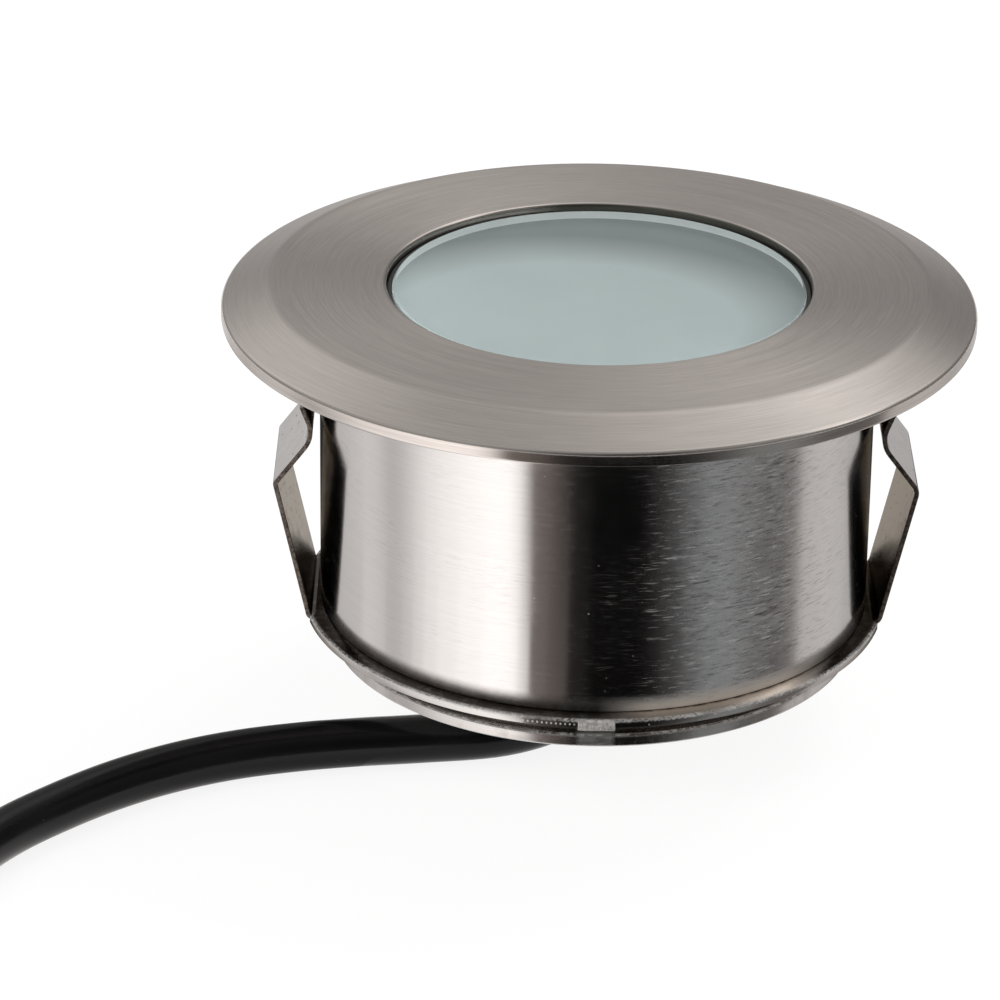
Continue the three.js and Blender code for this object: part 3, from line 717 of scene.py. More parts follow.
@dataclass(frozen=True)
class TurnedBase:
    """Stainless of the base disc: turned, duller than the can, with edges worn bright, a rubbed spot and
    painted shade in its groove.
    """

    colour: Colour = (0.60, 0.575, 0.555)
    stain_colour: Colour = (0.24, 0.20, 0.17)
    # Colour of the painted shade in the groove.
    painted_groove_shade: Colour = (0.07, 0.055, 0.045)
    bare: Colour = (0.86, 0.85, 0.83)
    tints: Point = (0.94, 1.05)
    roughness: float = 0.25
    anisotropy: float = 0.4
    depth: float = 0.006
    ring_radius: float = 21.3
    ring_edge: float = 6.64
    edge_width: Slope = (0.1, 0.04)
    edge_start: Point = (-0.35, -0.2)
    edge_grit: Slope = (0.44, 0.58)
    groove_start: Point = (-0.6, -0.75)
    groove_rise: Point = (0.0, 0.15)
    spot_side: Slope = (1.6, 1.2)
    spot_front: Slope = (-18.0, -20.0)
    spot_marks: Pattern = (5.0, 30.0, 3.0, 0.7)
    spot_mark: Slope = (0.35, 0.7, 0.12, 0.6)
    turning: Pattern = (5.0, 0.8)
    grit: Pattern = (1.5, 3.0, 0.65)
    stains_and_shade: Pattern = (0.35,)
    stain_and_shade: Slope = (0.5, 0.68, 0.0, 0.4)
    shade_share: float = 0.7
    worn_roughness: float = 0.25
    worn_dullness: float = 0.55
    turning_height: float = 0.3

    def made(self) -> bpy.types.Material:
        """Makes the material.

        Returns:
            The material.
        """
        shader = Shader("base_steel")
        across, along, up = shader.axes
        lathe = shader.lathe(*self.turning)
        grit = shader.noise(*self.grit)
        edge = abs(up - self.ring_edge).spread(*self.edge_width)
        edge = edge * shader.reach.near(self.ring_radius, *self.edge_start) * grit.spread(*self.edge_grit)
        spot = abs(across).spread(*self.spot_side) * along.spread(*self.spot_front)
        worn = edge | spot * shader.lathe(*self.spot_marks).spread(*self.spot_mark)
        # Painted shade in the groove above the bottom ring.
        behind = shader.reach.near(self.ring_radius, *self.groove_start)
        behind = behind * up.near(self.ring_edge, *self.groove_rise)
        base = shader.shaded(lathe.spread(*BROAD), self.colour, *self.tints)
        base = shader.mixed(shader.noise(*self.stains_and_shade).spread(*self.stain_and_shade), base, self.stain_colour)
        base = shader.mixed(behind * self.shade_share, base, self.painted_groove_shade)
        base = shader.mixed(worn, base, self.bare)
        rough = grit.about(self.roughness, 0.03, 0.04) + worn * self.worn_roughness
        shader.set(base_color=base, metallic=1.0 - worn * self.worn_dullness, roughness=rough)
        shader.relief(lathe * self.turning_height + worn * grit, self.depth)
        shader.grooved(self.anisotropy)
        return shader.material


@dataclass(frozen=True)
class SpringSheet:
    """Rolled spring steel: a mottled sheet with small dark pits, painted shade beside the can, worn at its
    lip.

    The lip's front has a rubbed warm stretch on the right and a dark stretch with a row of bright ticks.
    """

    name: str = "spring_steel"
    colour: Colour = (0.46, 0.445, 0.435)
    roughness: float = 0.2
    edge_tint: Colour = (1.0, 1.0, 1.0)
    pitted: float = 0.7
    pit_start: float = 0.68
    pit_rise: float = 0.05
    mottling: float = 0.12
    depth: float = 0.01
    relief_share: float = 0.6
    pit_colour: Colour = (0.06, 0.045, 0.035)
    rubbed: Colour = (0.74, 0.66, 0.58)
    # Colour of the painted shade beside the can.
    painted_shade_colour: Colour = (0.05, 0.042, 0.036)
    cut_edge: Colour = (0.62, 0.60, 0.58)
    tick_ground: Colour = (0.16, 0.14, 0.125)
    bare: Colour = (0.82, 0.81, 0.79)
    lip_radius: float = 23.57
    lip_top: float = 9.2
    lip_fade: Point = (0.3, 0.0)
    lip_clean: float = 0.17
    edge_start: Point = (-0.1, -0.02)
    can_radius: float = 22.2
    can_shade_reach: float = 0.95
    foot_start: Point = (0.3, 0.12)
    front_side: Slope = (-5.0, -9.0)
    mottle: Pattern = (0.7, 4.0)
    grit: Pattern = (1.5, 3.0, 0.65)
    pits: Pattern = (1.7, 2.0)
    painted_foot_shade_noise: Pattern = (0.9, 3.0, 0.7)
    painted_foot_shade: Slope = (0.4, 0.6, 0.1, 0.75)
    painted_shade: Slope = (0.25, 0.5, 0.6, 1.0)
    chips: Pattern = (3.6, 3.0, 0.65)
    chip: Slope = (0.4, 0.58, 0.1, 1.0)
    chip_start: Point = (-0.3, -0.16)
    chip_rise: Point = (-0.35, -0.2)
    chip_runs: Pattern = (0.5, 2.0, 0.5)
    chip_run: Slope = (0.38, 0.55, 0.35, 0.9)
    tick_stretch: tuple[Point, Point] = ((-5.8, -5.6), (-1.75, -1.6))
    tick_start: Point = (-0.4, -0.3)
    tick_level: float = 8.72
    tick_height: Slope = (0.1, 0.06)
    tick_pitch: float = 0.36
    tick: Slope = (0.3, 0.6)
    rubbed_share: float = 0.85
    shade_share: float = 0.85
    edge_share: float = 0.8
    ground_share: float = 0.6
    mark_roughness: float = 0.35
    worn_dullness: float = 0.65
    pit_dullness: float = 0.8
    mottle_height: float = 0.6
    pit_height: float = 0.5

    def made(self) -> bpy.types.Material:
        """Makes the material.

        Returns:
            The material.
        """
        shader = Shader(self.name)
        across, along, up = shader.axes
        mottle = shader.noise(*self.mottle)
        grit = shader.noise(*self.grit)
        pit_end = self.pit_start + self.pit_rise
        pit = shader.noise(*self.pits).spread(self.pit_start, pit_end, 0.0, self.pitted)
        low = up.near(self.lip_top, *self.lip_fade)
        front = along.spread(*self.front_side) * low
        handled = across.between(*RUBBED_FOOT) * front
        # Painted shade on the plate: in the crease at the can's foot, and on its top beside the can but not
        # on the rubbed stretch; grit breaks it up.
        foot = shader.reach.near(self.can_radius, *self.foot_start)
        foot = foot * shader.noise(*self.painted_foot_shade_noise).spread(*self.painted_foot_shade)
        beside = shader.reach.spread(self.lip_radius - self.lip_clean, self.can_radius + self.can_shade_reach)
        painted_shade = (beside * (1.0 - handled) | foot) * low * grit.spread(*self.painted_shade)
        edge = low * shader.reach.near(self.lip_radius, *self.edge_start)
        chipped = low * shader.reach.near(self.lip_radius, *self.chip_start)
        chipped = chipped * shader.noise(*self.chips).spread(*self.chip)
        chipped = chipped * up.near(self.lip_top, *self.chip_rise)
        chipped = chipped * shader.noise(*self.chip_runs).spread(*self.chip_run)
        stretch = across.between(*self.tick_stretch) * front
        stretch = stretch * shader.reach.near(self.lip_radius, *self.tick_start)
        comb = shader.maths("SINE", across * (FULL_TURN / self.tick_pitch)).spread(*self.tick)
        worn = chipped | comb * abs(up - self.tick_level).spread(*self.tick_height) * stretch
        base = shader.shaded(mottle.spread(*MIDDLE), self.colour, 1 - self.mottling, 1 + self.mottling)
        for share, colour in (
            (pit, self.pit_colour), (handled * self.rubbed_share, self.rubbed),
            (painted_shade * self.shade_share, self.painted_shade_colour), (edge * self.edge_share, self.cut_edge),
            (stretch * self.ground_share, self.tick_ground), (worn, self.bare),
        ):
            base = shader.mixed(share, base, colour)
        rough = mottle.about(self.roughness, 0.04, 0.05) + (worn | pit) * self.mark_roughness
        shining = (1.0 - worn * self.worn_dullness) * (1.0 - pit * self.pit_dullness)
        shader.set(base_color=base, metallic=shining, roughness=rough, specular_tint=self.edge_tint)
        height = mottle * self.mottle_height + worn * grit - pit * self.pit_height
        shader.relief(height, self.depth, self.relief_share)
        return shader.material


@dataclass(frozen=True)
class RawEdge:
    """Sheared or filed raw metal: rough, mottled, dark in its hollows."""

    name: str
    colour: Colour
    hollow: Colour
    metallic: float = 1.0
    roughness: float = 0.5
    depth: float = 0.03
    relief_share: float = 0.6
    grit: Pattern = (4.0, 4.0, 0.7)
    raised: Slope = (0.36, 0.6)
    stains_and_shade: Pattern = (1.2,)
    stain_and_shade: Slope = (0.45, 0.65, 0.0, 0.4)

    def made(self) -> bpy.types.Material:
        """Makes the material.

        Returns:
            The material.
        """
        shader = Shader(self.name)
        grit = shader.noise(*self.grit)
        base = shader.mixed(grit.spread(*self.raised), self.hollow, self.colour)
        base = shader.mixed(shader.noise(*self.stains_and_shade).spread(*self.stain_and_shade), base, self.hollow)
        shader.set(base_color=base, metallic=self.metallic, roughness=grit.about(self.roughness, 0.1, 0.1))
        shader.relief(grit, self.depth, self.relief_share)
        return shader.material


@dataclass(frozen=True)
class ClearGlass:
    """Polished face and edge of the glass, faintly green, with a slight smear."""

    colour: Colour = (0.92, 0.965, 0.96)
    index: float = 1.5
    smears: Pattern = (0.25, 3.0, 0.5)
    smear: Slope = (0.4, 0.7, 0.0, 0.05)

    def made(self) -> bpy.types.Material:
        """Makes the material.

        Returns:
            The material.
        """
        shader = Shader("clear_glass")
        rough = shader.noise(*self.smears).spread(*self.smear)
        shader.set(base_color=self.colour, roughness=rough, ior=self.index, transmission_weight=1.0)
        return shader.material


@dataclass(frozen=True)
class FrostedBack:
    """Sand-blasted glass, seen through the disc: pale grey-green, with painted shade away from a lit spot
    near its middle; any glow is painted light.
    """

    name: str = "frosted_glass"
    colour: Colour = (0.81, 0.90, 0.90)
    clearness: float = 0.2
    shade: float = 0.6
    glow: float = 0.0
    glow_colour: Colour = (0.9, 1.0, 0.96)
    index: float = 1.5
    tints: Point = (0.95, 1.04)
    shade_tint: float = 0.05
    grain: Pattern = (7.0, 3.0, 0.7)
    grain_share: float = 0.6
    grain_roughness: Slope = (0.3, 0.7, 0.6, 0.8)
    cloud: Pattern = (0.12, 2.0, 0.5)
    cloud_share: float = 0.4
    lit_shape: Place = (0.9, 1, 0)
    lit_centre: Place = (-2.7, -6.0, 0.0)
    lit_radius: Point = (12.6, 18.6)
    depth: float = 0.02
    relief_share: float = 0.4

    def made(self) -> bpy.types.Material:
        """Makes the material.

        Returns:
            The material.
        """
        shader = Shader(self.name)
        grain = shader.noise(*self.grain)
        tone = grain * self.grain_share + shader.noise(*self.cloud) * self.cloud_share
        # Painted shade: the frost darkens away from a lit spot in front of its middle and to the left.
        spot = shader.vector("MULTIPLY", shader.place, self.lit_shape).outputs[0]
        away = Value(shader, shader.vector("DISTANCE", spot, self.lit_centre).outputs["Value"])
        dark = away.spread(*self.lit_radius, 0.0, self.shade)
        base = shader.shaded(tone.spread(*MIDDLE), self.colour, *self.tints)
        base = shader.mixed(dark, base, tinted(self.colour, self.shade_tint))
        shader.set(base_color=base, roughness=grain.spread(*self.grain_roughness), ior=self.index)
        shader.set(transmission_weight=self.clearness)
        # Any glow set here is painted light.
        shader.set(emission_color=self.glow_colour, emission_strength=self.glow)
        shader.relief(grain, self.depth, self.relief_share)
        return shader.material


@dataclass(frozen=True)
class Moulded:
    """Moulded plastic or rubber: a soft sheen, a fine moulded grain, dull patches and a little dust."""

    name: str
    colour: Colour
    roughness: float = 0.4
    grain: float = 3.0
    depth: float = 0.01
    sheen_level: float = 0.5
    dust: float = 0.0
    dust_colour: Colour = (0.42, 0.40, 0.37)
    dust_roughness: float = 0.3
    dust_specks: Pattern = (1.6, 1.0, 0.5)
    dust_start: Point = (0.80, 0.84)
    cloud: Pattern = (0.2,)
    tints: Point = (0.88, 1.12)

    def made(self) -> bpy.types.Material:
        """Makes the material.

        Returns:
            The material.
        """
        shader = Shader(self.name)
        cloud = shader.noise(*self.cloud)
        speck = shader.noise(*self.dust_specks).spread(*self.dust_start, 0.0, self.dust)
        base = shader.shaded(cloud.spread(*MIDDLE), self.colour, *self.tints)
        base = shader.mixed(speck, base, self.dust_colour)
        rough = cloud.about(self.roughness, 0.06, 0.06) + speck * self.dust_roughness
        shader.set(base_color=base, roughness=rough, specular_ior_level=self.sheen_level)
        shader.relief(shader.noise(self.grain), self.depth)
        return shader.material


@dataclass(frozen=True)
class PlainMetal:
    """Machined or plated metal: a fine grain, small tone changes and duller spots."""

    name: str
    colour: Colour
    roughness: float = 0.35
    grain: float = 4.0
    depth: float = 0.006
    cloud: Pattern = (0.5,)
    tints: Point = (0.9, 1.08)

    def made(self) -> bpy.types.Material:
        """Makes the material.

        Returns:
            The material.
        """
        shader = Shader(self.name)
        grain = shader.noise(self.grain)
        base = shader.shaded(shader.noise(*self.cloud).spread(*MIDDLE), self.colour, *self.tints)
        shader.set(base_color=base, metallic=1.0, roughness=grain.about(self.roughness, 0.06, 0.08))
        shader.relief(grain, self.depth)
        return shader.material


class Finishes:
    """Every finish of the lamp, made once."""

    def __init__(self) -> None:
        """Makes the materials."""
        self.ring = BrushedFace().made()
        self.can = DrawnSteel().made()
        self.base = TurnedBase().made()
        self.spring = SpringSheet().made()
        # The plate's dark edge tint darkens what it mirrors at a slant, as painted shade.
        self.plate = SpringSheet("plate_steel", edge_tint=(0.35, 0.31, 0.28)).made()
        # A dark copy of the spring steel for the clips' inner faces: painted shade.
        self.spring_painted_shade = SpringSheet(
            "spring_painted_shade", (0.085, 0.075, 0.065), roughness=0.17, edge_tint=(0.66, 0.60, 0.53),
            pitted=0.75, pit_start=0.648, mottling=0.35,
        ).made()
        self.sheared = RawEdge("sheared_edge", (0.26, 0.22, 0.19), (0.05, 0.04, 0.034)).made()
        self.filed = RawEdge("filed_steel", (0.88, 0.86, 0.83), (0.42, 0.39, 0.36), metallic=0.4).made()
        self.glass = ClearGlass().made()
        self.frost = FrostedBack().made()
        # The glass's ground edge glows faintly: painted light.
        self.ground = FrostedBack(
            "ground_edge", (0.96, 1.0, 0.985), clearness=0.0, shade=0.0, glow=0.1
        ).made()
        self.rubber = Moulded(
            "black_rubber", (0.005, 0.005, 0.0055), 0.24, 2.0, sheen_level=0.2, dust=0.8
        ).made()
        self.seal = Moulded("seal_rubber", (0.02, 0.02, 0.02), 0.5).made()
        self.black_plastic = Moulded(
            "black_plastic", (0.022, 0.022, 0.023), 0.42, 5.0, 0.012, dust=0.5
        ).made()
        self.white_plastic = Moulded("white_plastic", (0.82, 0.82, 0.80), 0.3, 2.0, 0.004).made()
        self.white_board = Moulded("white_board", (0.84, 0.84, 0.82), 0.34, 1.4, 0.006).made()
        self.phosphor = Moulded("led_phosphor", (0.88, 0.76, 0.42), 0.3, 4.0, 0.008).made()
        self.green_board = Moulded("green_board", (0.03, 0.14, 0.07), 0.36, 2.2, 0.008).made()
        self.green_plastic = Moulded("green_plastic", (0.04, 0.22, 0.10), 0.4, 4.0, 0.01).made()
        self.brown = Moulded("brown_sleeve", (0.14, 0.05, 0.02), 0.42, 3.0, 0.008).made()
        self.blue = Moulded("blue_sleeve", (0.02, 0.09, 0.38), 0.42, 3.0, 0.008).made()
        self.red = Moulded("red_sleeve", (0.42, 0.02, 0.018), 0.42, 3.0, 0.008).made()
        self.ferrite = Moulded("ferrite", (0.045, 0.043, 0.042), 0.7, 6.0, 0.03).made()
        self.plated = PlainMetal("fastener_steel", (0.62, 0.62, 0.63), 0.3).made()
        self.brass = PlainMetal("brass_plated", (0.72, 0.52, 0.24), 0.28).made()
        self.aluminium = PlainMetal("bare_aluminium", (0.76, 0.77, 0.78), 0.42, 3.0, 0.012).made()
        self.can_aluminium = PlainMetal("can_aluminium", (0.78, 0.79, 0.81), 0.22).made()


# Geometry node trees and paths


class GeometryTree(Nodes):
    """A geometry node tree with named inputs, used once on one object and then baked."""

    def __init__(self, name: str) -> None:
        """Makes the tree with its geometry input and output.

        Args:
            name: name of the tree.
        """
        super().__init__(bpy.data.node_groups.new(name, "GeometryNodeTree"))
        face = self.tree.interface
        for way in ("INPUT", "OUTPUT"):
            face.new_socket(name="Geometry", in_out=way, socket_type="NodeSocketGeometry")
        self.start = self.node("NodeGroupInput")
        self.end = self.node("NodeGroupOutput")
        self.values: dict[str, object] = {}

    def size(self, name: str, value: object, kind: str = "Float") -> bpy.types.NodeSocket:
        """Adds a named input and remembers the value that the modifier gets.

        Args:
            name: the input's name.
            value: its value.
            kind: its type.

        Returns:
            The input's socket inside the tree.
        """
        face = self.tree.interface
        socket = face.new_socket(name=name, in_out="INPUT", socket_type=f"NodeSocket{kind}")
        self.values[socket.identifier] = value
        return self.start.outputs[name]

    def finish(self, geometry: bpy.types.NodeSocket, material: bpy.types.Material) -> None:
        """Ends the tree in real geometry with its material.

        Args:
            geometry: what the tree has made.
            material: its finish.
        """
        real = self.node("GeometryNodeRealizeInstances", {"Geometry": geometry})
        dressed = self.node("GeometryNodeSetMaterial", {"Geometry": real.outputs[0], "Material": material})
        self.tree.links.new(dressed.outputs[0], self.end.inputs[0])

    def baked(self, carrier: bpy.types.Object, name: str, sharp: float) -> bpy.types.Object:
        """Runs the tree on an object and keeps the result as a plain mesh.

        Args:
            carrier: the object that the tree starts from, which is used up.
            name: name of the result.
            sharp: angle in degrees past which an edge is shaded sharp.

        Returns:
            The new object.
        """
        modifier = carrier.modifiers.new("nodes", "NODES")
        modifier.node_group = self.tree
        for key, value in self.values.items():
            modifier[key] = value
        graph = bpy.context.evaluated_depsgraph_get()
        graph.update()
        mesh = bpy.data.meshes.new_from_object(carrier.evaluated_get(graph), depsgraph=graph)
        bpy.data.objects.remove(carrier)
        mesh.name = name
        return finished(name, mesh, None, sharp)


def tube(
    name: str, points: Sequence[Place], radius: float, sides: int, material: bpy.types.Material
) -> bpy.types.Object:
    """Sweeps a round section along a path with a geometry node tree.

    Args:
        name: name of the new object.
        points: the path's points in millimetres.
        radius: radius of the section.
        sides: faces round it.
        material: its finish.

    Returns:
        The new object.
    """
    curve = bpy.data.curves.new(f"{name}_path", "CURVE")
    curve.dimensions = "3D"
    spline = curve.splines.new("POLY")
    spline.points.add(len(points) - 1)
    for knot, place in zip(spline.points, points):
        knot.co = (*(Vector(place) * MM), 1.0)
    nodes = GeometryTree(f"{name}_tube")
    section = nodes.node("GeometryNodeCurvePrimitiveCircle", {
        "Resolution": nodes.size("Sides", sides, "Int"), "Radius": nodes.size("Radius", radius * MM),
    }, mode="RADIUS")
    swept = nodes.node("GeometryNodeCurveToMesh", {
        "Curve": nodes.start.outputs["Geometry"], "Profile Curve": section.outputs["Curve"],
        "Fill Caps": True,
    })
    nodes.finish(swept.outputs["Mesh"], material)
    return nodes.baked(linked(curve.name, curve), name, TUBE_ANGLE)


def smooth_path(places: Sequence[Place], steps: int, fineness: int = 40) -> list[Place]:
    """Runs one centripetal spline through points and walks it in even steps.

    Args:
        places: the points that it passes through.
        steps: how many steps the walk has.
        fineness: points of the spline between two of the places.

    Returns:
        The walk's points, one more than its steps.
    """
    knots = [Vector(place) for place in places]
    knots = [2 * knots[0] - knots[1], *knots, 2 * knots[-1] - knots[-2]]
    fine: list[Vector] = []
    for index in range(1, len(knots) - 2):
        before, start, end, after = knots[index - 1:index + 3]
        first = (start - before).length ** 0.5
        middle = (end - start).length ** 0.5
        last = (after - end).length ** 0.5
        leave = ((start - before) / first - (end - before) / (first + middle)) * middle + (end - start)
        arrive = ((after - end) / last - (after - start) / (middle + last)) * middle + (end - start)
        for step in range(fineness):
            share = step / fineness
            square, cube = share ** 2, share ** 3
            fine.append(
                start * (2 * cube - 3 * square + 1) + leave * (cube - 2 * square + share)
                + end * (3 * square - 2 * cube) + arrive * (cube - square)
            )
    fine.append(knots[-2])
    walked = [0.0]
    for here, there in zip(fine, fine[1:]):
        walked.append(walked[-1] + (there - here).length)
    points: list[Place] = []
    at = 0
    for step in range(steps + 1):
        goal = walked[-1] * step / steps
        while at < len(walked) - 2 and walked[at + 1] < goal:
            at += 1
        share = (goal - walked[at]) / (walked[at + 1] - walked[at])
        points.append(tuple(fine[at].lerp(fine[at + 1], min(1.0, max(0.0, share)))))
    return points


# Studio


@dataclass(frozen=True)
class CardStop:
    """One stop of the floor card: the upright line of the can that mirrors it, and how bright it is.

    A stop may have another level far from the lamp, where only the leaning clips mirror the card.
    """

    azimuth: float
    level: float
    warmth: float = 0.03
    far_level: float | None = None


@dataclass(frozen=True)
class Glow:
    """One soft patch of the tent: where it is seen from the lamp, how wide, and how much it adds."""

    way: Place
    spread: float
    level: float


@dataclass(frozen=True)
class SoftLamp:
    """One square soft lamp: where it hangs, the length of its side and its power in watts."""

    name: str
    place: Place
    side: float
    power: float


@dataclass
class Studio:
    """Camera, pale floor, white surroundings, soft lamps, and the card and tent that the steel mirrors."""

    camera_place: Place = (-7.88, -360.91, 182.62)
    camera_right: Place = (0.99993, 0.00451, 0.01112)
    camera_up: Place = (-0.01199, 0.41715, 0.90876)
    camera_forward: Place = (0.00054, 0.90883, -0.41718)
    camera_lens: float = 176.58
    camera_sensor: float = 36.0
    camera_sight: Point = (10.0, 10000.0)
    floor_half: float = 2500.0
    floor_level: float = -0.1
    floor_colour: Colour = (0.72, 0.72, 0.72)
    floor_shadowed: Colour = (0.2, 0.2, 0.2)
    floor_white: float = 0.87
    world_level: float = 0.7
    card_level: float = -0.05
    card_start: float = 2.0
    card_near: float = 70.0
    card_far: float = 82.0
    card_end: float = 300.0
    wall_radius: float = 22.2
    stops: tuple[CardStop, ...] = tuple(CardStop(*stop) for stop in (
        (-89.0, 0.03, 0.03, 0.76), (-74.5, 0.02, 0.03, 0.76), (-72.0, 0.62, 0.03, 0.76), (-65.5, 0.64),
        (-56.0, 0.8), (-52.0, 0.78), (-48.5, 0.64), (-46.5, 0.62), (-43.5, 0.72), (-40.5, 0.9), (-37.5, 1.08),
        (-34.0, 1.22), (-29.0, 1.36), (-23.0, 1.5), (-18.5, 1.5), (-15.8, 1.15), (-13.3, 0.2, 0.14),
        (-9.6, 0.14, 0.14), (-5.2, 0.02, 0.1), (-1.0, 0.004), (9.4, 0.004), (13.8, 0.04),
        (18.6, 0.13, -0.01), (22.6, 0.24, -0.04), (28.0, 0.26, -0.03), (34.0, 0.17), (39.0, 0.15),
        (44.3, 0.2, 0.06), (47.0, 0.62), (55.0, 0.66), (64.0, 0.56), (71.0, 0.5, 0.03, 0.62),
        (74.0, 0.03, 0.03, 0.62), (85.0, 0.04, 0.03, 0.62), (87.5, 0.12, 0.03, 0.62),
        (89.0, 0.25, 0.03, 0.62),
    ))
    blue_warmth: float = 1.4
    tent_radius: float = 1500.0
    tent_rows: int = 24
    tent_steps: int = 48
    tent_heights: Point = (0.15, 0.75)
    tent_levels: Point = (0.27, 0.44)
    tent_widths: Point = (-0.3, 0.3)
    tent_sides: Point = (1.16, 0.75)
    tent_colour: Colour = (1.0, 0.985, 0.97)
    glows: tuple[Glow, ...] = (
        Glow((0.33, 0.47, 0.82), 30.0, 0.97), Glow((-0.44, 0.64, 0.63), 26.0, 0.42),
        Glow((-0.16, 0.46, 0.87), 16.0, -0.18), Glow((0.0, -0.85, 0.53), 36.0, -0.25),
        Glow((0.72, 0.05, 0.69), 15.0, 1.3),
    )
    lamps: tuple[SoftLamp, ...] = (
        SoftLamp("key_lamp", (230.0, 260.0, 430.0), 320.0, 1.0),
        SoftLamp("fill_lamp", (-300.0, -260.0, 380.0), 300.0, 0.45),
    )
    lamp_target: Place = (0.0, 0.0, 20.0)

    def camera(self) -> None:
        """Makes the camera at the photograph's place."""
        lens = bpy.data.cameras.new("camera")
        lens.lens = self.camera_lens
        lens.sensor_width = self.camera_sensor
        lens.clip_start, lens.clip_end = (limit * MM for limit in self.camera_sight)
        made = linked("camera", lens)
        columns = (Vector(self.camera_right), Vector(self.camera_up), -Vector(self.camera_forward))
        turn = Matrix(columns).transposed().to_4x4()
        made.matrix_world = Matrix.Translation(Vector(self.camera_place) * MM) @ turn
        bpy.context.scene.camera = made

    @staticmethod
    def screen(
        shader: Shader, places: Sequence[Place], faces: Sequence[Sequence[int]]
    ) -> bpy.types.Object:
        """Makes one sheet of the studio.

        Args:
            shader: its material, whose name it takes.
            places: its points in millimetres.
            faces: its faces, as numbers of points.

        Returns:
            The new object.
        """
        mesh = bpy.data.meshes.new(shader.material.name)
        mesh.from_pydata([Vector(place) * MM for place in places], [], faces)
        mesh.materials.append(shader.material)
        made = linked(mesh.name, mesh)
        return made

    @staticmethod
    def hide(sheet: bpy.types.Object) -> None:
        """Leaves a sheet to the mirrors alone."""
        for rays in ("camera", "diffuse", "transmission", "shadow"):
            setattr(sheet, f"visible_{rays}", False)

    def floor(self) -> None:
        """Makes the pale floor, which keeps a faint shadow."""
        shader = Shader("floor")
        pale = shader.node("ShaderNodeBsdfDiffuse", {"Color": self.floor_colour})
        white = shader.node("ShaderNodeEmission", {"Strength": self.floor_white})
        faint = shader.node("ShaderNodeBsdfDiffuse", {"Color": self.floor_shadowed})
        bright = shader.node("ShaderNodeAddShader", {0: white.outputs[0], 1: faint.outputs[0]})
        links = {0: shader.seen(), 1: pale.outputs[0], 2: bright.outputs[0]}
        shader.show(shader.node("ShaderNodeMixShader", links))
        half = self.floor_half
        spots = ((-half, -half), (half, -half), (half, half), (-half, half))
        self.screen(shader, [(*spot, self.floor_level) for spot in spots], [(0, 1, 2, 3)])

    def world(self) -> None:
        """Makes the surroundings: white to the eye and in the steel, plain light on the lamp."""
        world = bpy.data.worlds.new("surroundings")
        bpy.context.scene.world = world
        world.use_nodes = True
        world.node_tree.nodes.clear()
        nodes = Nodes(world.node_tree)
        level = nodes.seen().spread(0.0, 1.0, self.world_level, 1.0)
        sky = nodes.node("ShaderNodeBackground", {"Strength": level})
        nodes.node("ShaderNodeOutputWorld", {"Surface": sky.outputs[0]})

    def card(self) -> None:
        """Lays a card on the floor, a fan whose edges run where the can's upright lines mirror to."""
        places: list[Place] = []
        tones: list[float] = []
        for stop in self.stops:
            normal = math.radians(stop.azimuth)
            at = Vector((math.sin(normal), -math.cos(normal))) * self.wall_radius
            way = Vector((math.sin(2 * normal), -math.cos(2 * normal)))
            far_level = stop.level if stop.far_level is None else stop.far_level
            for distance, level in (
                (self.card_start, stop.level), (self.card_near, stop.level),
                (self.card_far, far_level), (self.card_end, far_level),
            ):
                places.append((*(at + way * distance), self.card_level))
                green = level * (1 - stop.warmth)
                blue = level * (1 - self.blue_warmth * stop.warmth)
                tones += [level, green, blue, 1.0]
        starts = [4 * stop + row for stop in range(len(self.stops) - 1) for row in range(3)]
        shader = Shader("floor_card")
        glow = shader.node("ShaderNodeAttribute", attribute_name="glow")
        shader.show(shader.node("ShaderNodeEmission", {"Color": glow.outputs["Color"]}))
        card = self.screen(shader, places, [(at, at + 1, at + 5, at + 4) for at in starts])
        shades = card.data.color_attributes.new("glow", "FLOAT_COLOR", "POINT")
        shades.data.foreach_set("color", tones)
        self.hide(card)

    def tent(self) -> None:
        """Stands a tent of grey cloth round the lamp, for the steel to mirror, with soft patches."""
        shader = Shader("tent")
        heading = shader.vector("NORMALIZE", shader.place).outputs[0]
        across, _, up = shader.split(heading)
        level = up.spread(*self.tent_heights, *self.tent_levels)
        level = level * across.spread(*self.tent_widths, *self.tent_sides)
        for patch in self.glows:
            toward = shader.vector("DOT_PRODUCT", heading, Vector(patch.way).normalized()).outputs["Value"]
            wide, narrow = (math.cos(math.radians(angle)) for angle in (patch.spread, patch.spread / 4))
            level = level + Value(shader, toward).spread(wide, narrow, 0.0, patch.level)
        shader.show(shader.node("ShaderNodeEmission", {"Color": self.tent_colour, "Strength": level}))
        rows, steps = self.tent_rows, self.tent_steps
        places: list[Place] = []
        for row in range(rows + 1):
            rise = math.pi / 2 * row / rows
            for step in range(steps):
                angle = FULL_TURN * step / steps
                aside, ahead = math.cos(angle) * math.cos(rise), math.sin(angle) * math.cos(rise)
                places.append(Vector((aside, ahead, math.sin(rise))) * self.tent_radius)
        faces = []
        for row in range(rows):
            for step in range(steps):
                low = [row * steps + step, row * steps + (step + 1) % steps]
                faces.append([*low, low[1] + steps, low[0] + steps])
        self.hide(self.screen(shader, places, faces))

    def lamp(self, soft: SoftLamp) -> None:
        """Hangs a lamp that faces the object.

        Args:
            soft: the lamp.
        """
        light = bpy.data.lights.new(soft.name, "AREA")
        light.shape = "SQUARE"
        light.size = soft.side * MM
        light.energy = soft.power
        made = linked(soft.name, light)
        made.location = Vector(soft.place) * MM
        way = Vector(self.lamp_target) - Vector(soft.place)
        made.rotation_euler = way.to_track_quat("-Z", "Y").to_euler()
        made.visible_glossy = False

